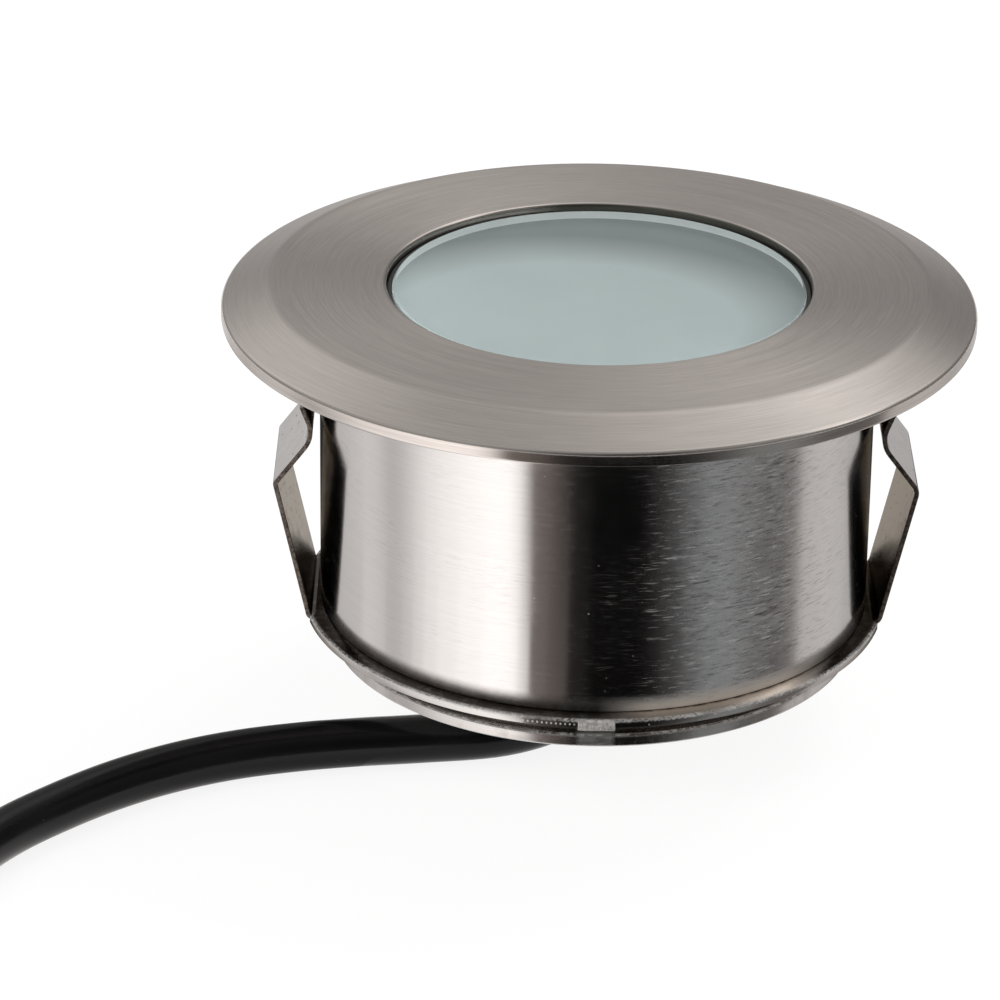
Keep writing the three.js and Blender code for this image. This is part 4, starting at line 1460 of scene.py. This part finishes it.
    def build(self) -> None:
        """Sets up all of the studio but its camera."""
        bpy.context.scene.view_settings.view_transform = "Standard"
        self.floor()
        self.world()
        self.card()
        self.tent()
        for soft in self.lamps:
            self.lamp(soft)


# The lamp's sub-assemblies


class Side(Enum):
    """Side that one of two like pieces is on, as seen from the front."""

    RIGHT = 1
    LEFT = -1


@dataclass
class SubAssembly:
    """A part of the lamp that holds its sizes, makes its own pieces and dresses them."""

    finishes: Finishes

    @staticmethod
    def dress(material: bpy.types.Material, *names: str) -> None:
        """Gives nodes that keep their solids a finish.

        Args:
            material: the finish.
            *names: the nodes.
        """
        for name in names:
            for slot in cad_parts[name].material_slots:
                slot.link = "OBJECT"
                slot.material = material
            log.info("node %s: %s", name, material.name)

    @staticmethod
    def settle(piece: bpy.types.Object, slot: str, *nodes: str, body: str = "lamp") -> None:
        """Hangs a piece on its body and hides the nodes that it stands for.

        Args:
            piece: the finished piece.
            slot: name of a material slot; not used.
            *nodes: the nodes that it replaces.
            body: the body that it moves with.
        """
        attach(piece, body)
        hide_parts(*nodes)
        log.info("piece %s: %d faces on %s", piece.name, len(piece.data.polygons), body)

    def build(self) -> None:
        """Makes, dresses and settles the pieces."""
        raise NotImplementedError


@dataclass
class Flex(SubAssembly):
    """Black round flex: its run along the floor, its coil, the tie and the plug."""

    radius: float = 1.95
    route: tuple[Place, ...] = (
        (-1.37, -8.35, 2.6), (-3.95, -10.85, 2.45), (-7.5, -12.3, 2.15), (-14.2, -13.3, 2.0),
        (-19.0, -14.0, 2.0), (-23.8, -15.0, 2.0), (-28.4, -16.4, 2.0), (-33.0, -18.6, 2.0),
        (-37.5, -21.7, 2.0), (-41.7, -25.6, 2.0), (-45.2, -29.6, 2.0), (-48.6, -35.4, 2.0),
        (-52.0, -44.2, 2.0), (-56.8, -51.4, 2.0), (-62.8, -56.8, 2.1), (-69.6, -60.6, 2.4),
        (-74.6, -62.3, 2.65), (-77.8, -62.5, 2.7),
    )
    route_steps: int = 112
    sides: int = 24
    centre: Point = (-82.0, -34.0)
    outer: float = 28.5
    pitch: float = 4.4
    turns: float = 6.25
    turnback: float = 3.25
    climb_turns: float = 0.5
    low: float = 2.75
    loop_steps: int = 60
    tail: float = 11.2
    plug_gap: float = 0.3
    relief_length: float = 10.0
    relief_neck: float = 2.9
    relief_root: float = 3.4
    relief_rings: int = 4
    ring_depth: float = 0.55
    ring_share: float = 0.32
    body_radius: float = 6.2
    body_length: float = 17.0
    face_radius: float = 5.0
    face_length: float = 5.0
    collar_radius: float = 6.95
    collar_length: float = 7.0
    collar_gap: float = 0.15
    ribs: int = 20
    rib_depth: float = 0.45
    rib_margin: float = 0.8
    pin_radius: float = 0.8
    pin_length: float = 6.0
    pin_spacing: float = 4.4
    seat_gap: float = 0.1

    def coil_place(self, turns: float) -> Place:
        """Gives the middle of the flex after a number of turns of its coil.

        Args:
            turns: the turns so far: inwards on the floor up to the turnback, then outwards on top.

        Returns:
            The place in millimetres.
        """
        inward = min(turns, self.turnback)
        radius = self.outer - self.pitch * (2 * inward - turns)
        share = min(1.0, max(0.0, (turns - self.turnback) / self.climb_turns + 0.5))
        climb = share * share * (3 - 2 * share)
        angle = -math.pi / 2 - FULL_TURN * turns
        x = self.centre[0] + radius * math.cos(angle)
        y = self.centre[1] + radius * math.sin(angle)
        return (x, y, self.low + self.pitch * climb)

    def path(self) -> list[Place]:
        """Gives the whole centreline, from the boot to the plug.

        Returns:
            Its points in millimetres.
        """
        count = round(self.turns * self.loop_steps)
        coil = [self.coil_place(self.turns * step / count) for step in range(count + 1)]
        start, end = coil[0], coil[-1]
        return [
            *smooth_path(self.route, self.route_steps),
            (start[0] + 2 * self.radius / 3, start[1], start[2]),
            *coil,
            *[(end[0], end[1] + self.tail * share, end[2]) for share in (0.1, 0.4, 0.7, 1.0)],
        ]

    def placed(self) -> Matrix:
        """Gives the turn and shift from the Z axis to the plug's axis, which runs along +Y."""
        end = Vector(self.path()[-1]) + Vector((0, self.plug_gap, 0))
        return Matrix.Translation(end) @ Matrix.Rotation(-math.pi / 2, 4, "X")

    def plug_body(self) -> bpy.types.Object:
        """Makes the plug's moulded body, with rings on its strain relief.

        Returns:
            The body.
        """
        shoulder = self.relief_length
        end = shoulder + self.body_length
        width = shoulder * self.ring_share / self.relief_rings
        outline: list[Corner] = [(0.0, 0.0, 0.0), (self.relief_neck, 0.0, 0.3)]
        for ring in range(self.relief_rings):
            start = shoulder * (ring + 0.55) / (self.relief_rings + 0.5)
            radius = self.relief_neck + (self.relief_root - self.relief_neck) * start / shoulder
            low = radius - self.ring_depth
            outline += [
                (radius, start, EDGE), (low, start + 0.1, 0.15),
                (low, start + width, 0.15), (radius, start + width + 0.1, EDGE),
            ]
        outline += [
            (self.relief_root, shoulder, 0.4), (self.body_radius, shoulder + 0.6, 0.9),
            (self.body_radius, end, 0.8), (self.face_radius, end, EDGE),
            (self.face_radius, end + self.face_length, 0.4), (0.0, end + self.face_length, 0.0),
        ]
        finish = self.finishes.black_plastic
        return turned("plug_moulding", filleted(outline), finish, segments=96, placed=self.placed())

    def plug_collar(self) -> bpy.types.Object:
        """Makes the coupling ring: a turned sleeve with grip ribs set round it by a node tree.

        Returns:
            The ring.
        """
        finish = self.finishes.black_plastic
        start = self.relief_length + self.body_length + self.seat_gap
        end = start + self.collar_length
        inner = self.face_radius + self.collar_gap
        outer = self.collar_radius - self.rib_depth
        outline = filleted([(inner, start, 0.2), (outer, start, 0.3), (outer, end, 0.3), (inner, end, 0.2)])
        sleeve = turned("collar_sleeve", outline, finish, segments=96)
        nodes = GeometryTree("collar_ribs")
        ring = nodes.node("GeometryNodeMeshCircle", {
            "Vertices": nodes.size("Count", self.ribs, "Int"),
            "Radius": nodes.size("Ring radius", outer * MM),
        })
        rib = nodes.node("GeometryNodeMeshCylinder", {
            "Vertices": 12, "Radius": nodes.size("Rib radius", self.rib_depth * MM),
            "Depth": nodes.size("Rib length", (self.collar_length - 2 * self.rib_margin) * MM),
        })
        links = {"Points": ring.outputs["Mesh"], "Instance": rib.outputs["Mesh"]}
        spread = nodes.node("GeometryNodeInstanceOnPoints", links)
        lift = nodes.size("Centre", (0.0, 0.0, (start + end) / 2 * MM), "Vector")
        links = {"Geometry": spread.outputs["Instances"], "Translation": lift}
        moved = nodes.node("GeometryNodeTransform", links)
        both = nodes.node("GeometryNodeJoinGeometry")
        for part in (moved.outputs[0], nodes.start.outputs["Geometry"]):
            nodes.tree.links.new(part, both.inputs[0])
        nodes.finish(both.outputs[0], finish)
        made = nodes.baked(sleeve, "plug_coupling", SOFT_ANGLE)
        where = self.placed()
        where.translation *= MM
        made.data.transform(where)
        return made

    def plug_pin(self, side: Side) -> bpy.types.Object:
        """Makes one of the plug's two pins.

        Args:
            side: side of the plug.

        Returns:
            The pin.
        """
        start = self.relief_length + self.body_length + self.face_length + self.seat_gap
        end = start + self.pin_length
        outline = filleted([
            (0.0, start, 0.0), (self.pin_radius, start, 0.05), (self.pin_radius, end, 0.4), (0.0, end, 0.0),
        ])
        where = self.placed() @ Matrix.Translation((side.value * self.pin_spacing / 2, 0, 0))
        name = f"plug_contact_{side.name.lower()}"
        return turned(name, outline, self.finishes.brass, segments=32, placed=where)

    def build(self) -> None:
        path = self.path()
        cord = tube("flex", path, self.radius, self.sides, self.finishes.rubber)
        self.settle(cord, "black_rubber", "cable_lead", "cable_coil")
        body = self.plug_body()
        self.settle(body, "black_plastic", "plug_body")
        collar = self.plug_collar()
        self.settle(collar, "black_plastic", "plug_collar")
        pins = [self.plug_pin(side) for side in (Side.LEFT, Side.RIGHT)]
        for number, pin in enumerate(pins, 1):
            self.settle(pin, "brass_plated", f"plug_pin_{number}")
        self.dress(self.finishes.black_plastic, "coil_tie")
        for unseen in (cord, body, collar, *pins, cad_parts["coil_tie"]):
            unseen.visible_glossy = False
        metres = [tuple(Vector(place) * MM) for place in path]
        length = sum((Vector(b) - Vector(a)).length for a, b in zip(metres, metres[1:]))
        log.info("flex: %.3f m long", length)


@dataclass
class TrimRing(SubAssembly):
    """Turned stainless ring: flat, bevel, rim, bore, ledge and neck."""

    ledge_radius: float = 14.9
    neck_radius: float = 21.25
    neck_bottom: float = 30.05
    seal_bottom: float = 31.15
    seal_top: float = 32.55
    seal_depth: float = 1.0
    rebate_top: float = 33.75
    rebate_radius: float = 22.35
    flange_bottom: float = 33.45
    flange_radius: float = 30.0
    bevel_bottom: float = 34.55
    flat_radius: float = 26.25
    face_top: float = 36.2
    bore_radius: float = 16.9
    ledge_top: float = 33.17

    def build(self) -> None:
        """Makes the ring."""
        groove = self.neck_radius - self.seal_depth
        outline = filleted([
            (self.ledge_radius, self.neck_bottom, 0.2), (self.neck_radius, self.neck_bottom, 0.3),
            (self.neck_radius, self.seal_bottom, 0.08), (groove, self.seal_bottom, EDGE),
            (groove, self.seal_top, EDGE), (self.neck_radius, self.seal_top, 0.08),
            (self.neck_radius, self.rebate_top, 0.05), (self.rebate_radius, self.rebate_top, 0.05),
            (self.rebate_radius, self.flange_bottom, 0.05), (self.flange_radius, self.flange_bottom, 0.22),
            (self.flange_radius, self.bevel_bottom, 0.38), (self.flat_radius, self.face_top, 1.6),
            (self.bore_radius, self.face_top, 0.27), (self.bore_radius, self.ledge_top, EDGE),
            (self.ledge_radius, self.ledge_top, EDGE),
        ], steps=5)
        ring = turned("turned_trim_ring", outline, self.finishes.ring, segments=256)
        self.settle(ring, "brushed_ring", "trim_ring")


@dataclass
class Lens(SubAssembly):
    """Glass disc with a frosted underside, in its black gasket."""

    radius: float = 16.45
    bottom: float = 33.57
    top: float = 35.77
    edge: float = 0.22
    gasket_inner: float = 15.05
    gasket_outer: float = 16.85
    gasket_gap: float = 0.05
    gasket_bottom: float = 33.22
    gasket_seat: float = 33.52
    gasket_top: float = 35.52
    frosted_below: float = -0.9
    ground_below: float = 0.3

    def build(self) -> None:
        """Makes the glass and the gasket."""
        outline = filleted([
            (0.0, self.bottom, 0.0), (self.radius, self.bottom, EDGE),
            (self.radius, self.top, self.edge), (0.0, self.top, 0.0),
        ])
        glass = turned("lens_glass", outline, self.finishes.glass)
        glass.data.materials.append(self.finishes.frost)
        glass.data.materials.append(self.finishes.ground)
        for face in glass.data.polygons:
            if face.normal.z < self.frosted_below:
                face.material_index = 1
            elif face.normal.z < self.ground_below:
                face.material_index = 2
        self.settle(glass, "frosted_glass", "glass_disc")
        rim = self.radius + self.gasket_gap
        outline = filleted([
            (self.gasket_inner, self.gasket_bottom, 0.08), (self.gasket_outer, self.gasket_bottom, 0.08),
            (self.gasket_outer, self.gasket_top, EDGE), (rim, self.gasket_top, EDGE),
            (rim, self.gasket_seat, 0.03), (self.gasket_inner, self.gasket_seat, 0.08),
        ])
        gasket = turned("lens_gasket", outline, self.finishes.seal)
        self.settle(gasket, "black_rubber", "glass_gasket")


@dataclass
class Can(SubAssembly):
    """Drawn can with a tight bottom corner, a floor and a hole for the stem."""

    radius: float = 22.2
    wall: float = 0.8
    bottom: float = 9.15
    top: float = 33.65
    floor_top: float = 10.13
    hole: float = 4.15
    corner: float = 0.1

    def build(self) -> None:
        """Makes the can."""
        inner = self.radius - self.wall
        outline = filleted([
            (self.hole, self.bottom, EDGE), (self.radius, self.bottom, self.corner),
            (self.radius, self.top, 0.15), (inner, self.top, EDGE),
            (inner, self.floor_top, 0.3), (self.hole, self.floor_top, EDGE),
        ], steps=5)
        can = turned("drawn_can", outline, self.finishes.can, segments=256)
        self.settle(can, "can_steel", "housing_can")


@dataclass
class BaseDisc(SubAssembly):
    """Turned base disc: the small bottom ring, the groove, the shoulder and the recess underneath."""

    radius: float = 21.3
    bottom: float = 5.6
    ring_top: float = 6.75
    groove_top: float = 7.9
    groove_depth: float = 0.8
    top: float = 8.65
    hole: float = 4.15
    boss: float = 8.2
    foot: float = 18.7
    recess: float = 0.6

    def build(self) -> None:
        """Makes the disc."""
        roof, groove = self.bottom + self.recess, self.radius - self.groove_depth
        outline = filleted([
            (self.hole, self.bottom, EDGE), (self.boss, self.bottom, EDGE), (self.boss, roof, EDGE),
            (self.foot, roof, EDGE), (self.foot, self.bottom, EDGE),
            (self.radius, self.bottom, 0.22), (self.radius, self.ring_top, 0.32),
            (groove, self.ring_top, 0.12), (groove, self.groove_top, 0.12),
            (self.radius, self.groove_top, EDGE), (self.radius, self.top, 0.08), (self.hole, self.top, EDGE),
        ])
        disc = turned("turned_base", outline, self.finishes.base, segments=256)
        self.settle(disc, "can_steel", "base_disc")


@dataclass
class SpringPlate(SubAssembly):
    """Pressed plate whose lip shows, its two tabs and its two spring clips."""

    sheet: float = 0.38
    bottom: float = 8.75
    hole: float = 4.15
    lip_radius: float = 23.57
    lip_steps: int = 100
    lip_edge: float = 0.09
    lip_width: float = 0.5
    lip_drop: float = 0.3
    notch: float = 22.5
    notch_drop: float = 0.02
    notch_share: float = 0.33
    clip_overlap: float = 0.05
    tab_width: float = 2.9
    tab_depth: float = 0.55
    tab_proud: float = 0.02
    tab_drop: float = 0.55
    clip_width: float = 11.2
    corner: Point = (23.1, 8.75)
    lean: float = 12.7
    leg_length: float = 12.3
    bend: Point = (22.68, 24.843)
    tail: Point = (23.612, 27.27)
    right_bends: Point = (0.95, 1.3)
    left_bends: Point = (0.5, 0.5)
    head_bend: float = 2.1
    bend_steps: int = 8
    bend_guard: float = 0.1
    strip_edge: float = 0.07
    strip_step: float = 0.35
    leg_middle: float = 15.6
    root_reach: float = 1.1
    elbow_reach: float = 0.9
    sheared_beyond: float = 0.7
    inner_beyond: float = 0.02

    def plate(self) -> bpy.types.Object:
        """Makes the ring of the plate, with a notch in its lip at each clip, and the two tabs.

        Returns:
            The plate.
        """
        low, top, edge, width = self.bottom, self.bottom + self.sheet, self.lip_edge, self.lip_width
        rows = (
            (None, low, 0.0), (width + edge, low, 0.0), (width, low, 0.3), (width, low, 0.9),
            (width - edge / 2, low, 1.0), (edge, low, 1.0), (edge / 3, low + edge / 3, 1.0),
            (0.0, low + edge, 1.0), (0.0, top - edge, 0.0), (edge / 3, top - edge / 3, 0.0),
            (edge, top, 0.0), (None, top, 0.0),
        )
        half_notch = math.atan2(self.clip_width / 2, self.notch)
        span = math.pi - 2 * half_notch
        reached: list[tuple[float, float, float]] = []
        for side in (0.0, math.pi):
            for step in range(-3, 4):
                turn = half_notch * step * self.notch_share
                reached.append((side + turn, self.notch / math.cos(turn), self.notch_drop))
            for step in range(self.lip_steps + 1):
                turn = half_notch + span * step / self.lip_steps
                reached.append((side + turn, self.lip_radius, self.lip_drop))
        loops = []
        for inset, height, share in rows:
            loop = []
            for angle, reach, drop in reached:
                radius = self.hole if inset is None else reach - inset
                loop.append((radius * math.cos(angle), radius * math.sin(angle), height - share * drop))
            loops.append(loop)
        parts = [lofted("plate_ring", loops, self.finishes.plate)]
        half = self.tab_width / 2
        for turn in (-90, 90):
            placed = Matrix.Rotation(math.radians(turn), 4, "Z")
            inner = (self.lip_radius - self.tab_depth, -half, self.bottom - self.tab_drop)
            outer = (self.lip_radius + self.tab_proud, half, top - 0.01)
            parts.append(block("tab", inner, outer, self.finishes.filed, placed))
        return joined("pressed_spring_plate", parts)

    def line(self, side: Side) -> list[Point]:
        """Gives the outer line of a clip, from the plate to the end of its tail.

        Args:
            side: side of the lamp.

        Returns:
            Its (x, z) points, as on the right side.
        """
        lean = math.radians(self.lean)
        elbow = Vector(self.corner) + Vector((math.sin(lean), math.cos(lean))) * self.leg_length
        root_bend, elbow_bend = self.right_bends if side is Side.RIGHT else self.left_bends
        rough = filleted([
            (self.notch - self.clip_overlap, self.bottom, 0.0), (*self.corner, root_bend),
            (*elbow, elbow_bend), (*self.bend, self.head_bend), (*self.tail, 0.0),
        ], steps=self.bend_steps, loop=False, guard=self.bend_guard)
        fine = [rough[0]]
        for here, there in zip(rough, rough[1:]):
            pieces = max(1, math.ceil(math.dist(here, there) / self.strip_step))
            fine += [tuple(Vector(here).lerp(Vector(there), step / pieces)) for step in range(1, pieces + 1)]
        return fine

    def strip(self, name: str, line: Sequence[Point], side: Side) -> bpy.types.Object:
        """Makes a strip of sheet along part of a clip's line.

        Args:
            name: name of the piece.
            line: the outer line as (x, z) points, the sheet on its left.
            side: side of the lamp.

        Returns:
            The strip.
        """
        half, edge, sheet = self.clip_width / 2, self.strip_edge, self.sheet
        section = filleted([
            (-half, 0.0, edge), (half, 0.0, edge), (half, sheet, edge), (-half, sheet, edge),
        ], steps=3)
        loops = []
        for index, (x, z) in enumerate(line):
            before, after = line[max(index - 1, 0)], line[min(index + 1, len(line) - 1)]
            way = (Vector(after) - Vector(before)).normalized()
            loops.append([
                (side.value * (x - way.y * depth), side.value * across, z + way.x * depth)
                for across, depth in section
            ])
        made = lofted(name, loops, self.finishes.spring, closed=False, sharp=SOFT_ANGLE)
        # The inner faces, towards the can, get the dark copy of the steel: painted shade.
        made.data.materials.append(self.finishes.spring_painted_shade)
        made.data.materials.append(self.finishes.sheared)
        for face in made.data.polygons:
            if abs(face.normal.y) > self.sheared_beyond:
                face.material_index = 2
            elif -face.normal.x * side.value > self.inner_beyond:
                face.material_index = 1
        return made

    def clip(self, side: Side) -> None:
        """Makes one clip as two strips that meet in the middle of its leg.

        Args:
            side: side of the lamp.
        """
        name = side.name.lower()
        line = self.line(side)
        heights = [abs(z - self.leg_middle) + 0.001 * index for index, (_, z) in enumerate(line)]
        middle = heights.index(min(heights))
        leg = self.strip(f"clip_{name}_lower", line[:middle + 1], side)
        head = self.strip(f"clip_{name}_upper", line[middle:], side)
        for piece, bend, first, second, node, reach in (
            (leg, "root", "lamp", f"leg_{name}", f"clip_leg_{name}", self.root_reach),
            (head, "elbow", f"leg_{name}", f"head_{name}", f"clip_head_{name}", self.elbow_reach),
        ):
            up = Vector((0, 0, reach * MM))
            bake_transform(piece)
            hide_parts(node)
            count = len(piece.data.polygons)
            log.info("piece %s: %d faces from %s to %s", piece.name, count, first, second)

    def build(self) -> None:
        """Makes the plate and both clips."""
        self.settle(self.plate(), "spring_steel", "spring_plate")
        for side in Side:
            self.clip(side)


@dataclass
class Gland(SubAssembly):
    """Rubber boot that the lamp stands on, with its stem, nut and washer."""

    height: float = 5.5
    radius: float = 6.8
    edge: float = 0.6
    stem_radius: float = 4.0
    stem_top: float = 13.53
    spout_height: float = 2.6
    spout_radius: float = 2.45
    spout_root: float = 2.85
    spout_length: float = 6.0
    rings: int = 2
    ring_start: float = -1.9
    ring_pitch: float = 0.9
    ring_depth: float = 0.22
    ring_taper: float = 0.06
    exit: Point = (-1.37, -8.35)
    onward: Point = (-3.95, -10.85)
    gap: float = 0.3

    def round_body(self) -> bpy.types.Object:
        """Makes the boot's round body and its stem.

        Returns:
            The body.
        """
        outline = filleted([
            (0.0, 0.0, 0.0), (self.radius, 0.0, self.edge), (self.radius, self.height, self.edge),
            (self.stem_radius, self.height, 0.2), (self.stem_radius, self.stem_top, 0.3),
            (0.0, self.stem_top, 0.0),
        ])
        return turned("boot_body", outline, self.finishes.rubber, segments=128)

    def spout(self) -> bpy.types.Object:
        """Makes the ribbed spout that the flex comes out of.

        Returns:
            The spout.
        """
        heading = (Vector(self.onward) - Vector(self.exit)).normalized()
        mouth = Vector(self.exit) - heading * self.gap
        aim = Matrix.Rotation(math.atan2(heading.y, heading.x), 4, "Z")
        laid = Matrix.Rotation(math.pi / 2, 4, "Y")
        placed = Matrix.Translation((*mouth, self.spout_height)) @ aim @ laid
        radius, inner = self.spout_radius, -self.spout_length
        outline: list[Corner] = [(0.0, inner, 0.0), (self.spout_root, inner, EDGE)]
        for ring in range(self.rings):
            start = self.ring_start + self.ring_pitch * ring
            crest, low = radius - self.ring_taper * ring, radius - self.ring_depth
            outline += [
                (crest + 0.12, start, 0.06), (low, start + 0.08, 0.08), (low, start + 0.36, 0.08),
                (crest + 0.08, start + 0.44, 0.06),
            ]
        outline += [(radius, 0.0, 0.2), (0.0, 0.0, 0.0)]
        finish = self.finishes.rubber
        spout = turned("boot_spout", filleted(outline), finish, segments=64, placed=placed)
        for vertex in spout.data.vertices:
            vertex.co.z = max(vertex.co.z, 0.0)
        return spout

    def build(self) -> None:
        """Makes the boot and dresses the nut and washer."""
        boot = joined("moulded_boot", [self.round_body(), self.spout()])
        self.settle(boot, "black_rubber", "cable_boot")
        self.dress(self.finishes.plated, "gland_washer")
        self.dress(self.finishes.brass, "gland_nut")


@dataclass
class LightEngine(SubAssembly):
    """What the can holds: reflector, boards, their parts and wires."""

    chips: int = 6
    screws: int = 2
    posts: int = 3

    def build(self) -> None:
        """Dresses the parts that the can hides."""
        finishes = self.finishes
        self.dress(finishes.white_plastic, "reflector_cup")
        self.dress(finishes.white_board, "led_board")
        self.dress(finishes.phosphor, *[f"led_chip_{index + 1}" for index in range(self.chips)])
        self.dress(finishes.plated, *[f"led_screw_{index + 1}" for index in range(self.screws)])
        self.dress(finishes.plated, *[f"driver_screw_{index + 1}" for index in range(self.posts)])
        self.dress(finishes.aluminium, "heat_spreader")
        self.dress(finishes.green_board, "driver_board")
        self.dress(finishes.can_aluminium, "capacitor")
        self.dress(finishes.ferrite, "inductor")
        self.dress(finishes.black_plastic, "rectifier", "driver_chip", "led_wire_black")
        self.dress(finishes.green_plastic, "terminal_block")
        self.dress(finishes.brown, "core_brown")
        self.dress(finishes.blue, "core_blue")
        self.dress(finishes.red, "led_wire_red")
        self.dress(finishes.seal, "neck_seal")


def corners(box: Sequence[Vector]) -> list[list[float]]:
    """Turns a box into plain lists of numbers."""
    return [[round(value, 6) for value in corner] for corner in box]


def main() -> None:
    """Builds the studio and the lamp."""
    logging.basicConfig(level=logging.INFO, format="%(message)s")
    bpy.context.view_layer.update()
    studio = Studio()
    studio.camera()
    finishes = Finishes()
    for part in (Flex, TrimRing, Lens, Can, BaseDisc, SpringPlate, Gland, LightEngine):
        part(finishes).build()
    studio.build()


if __name__ == "__main__":
    main()
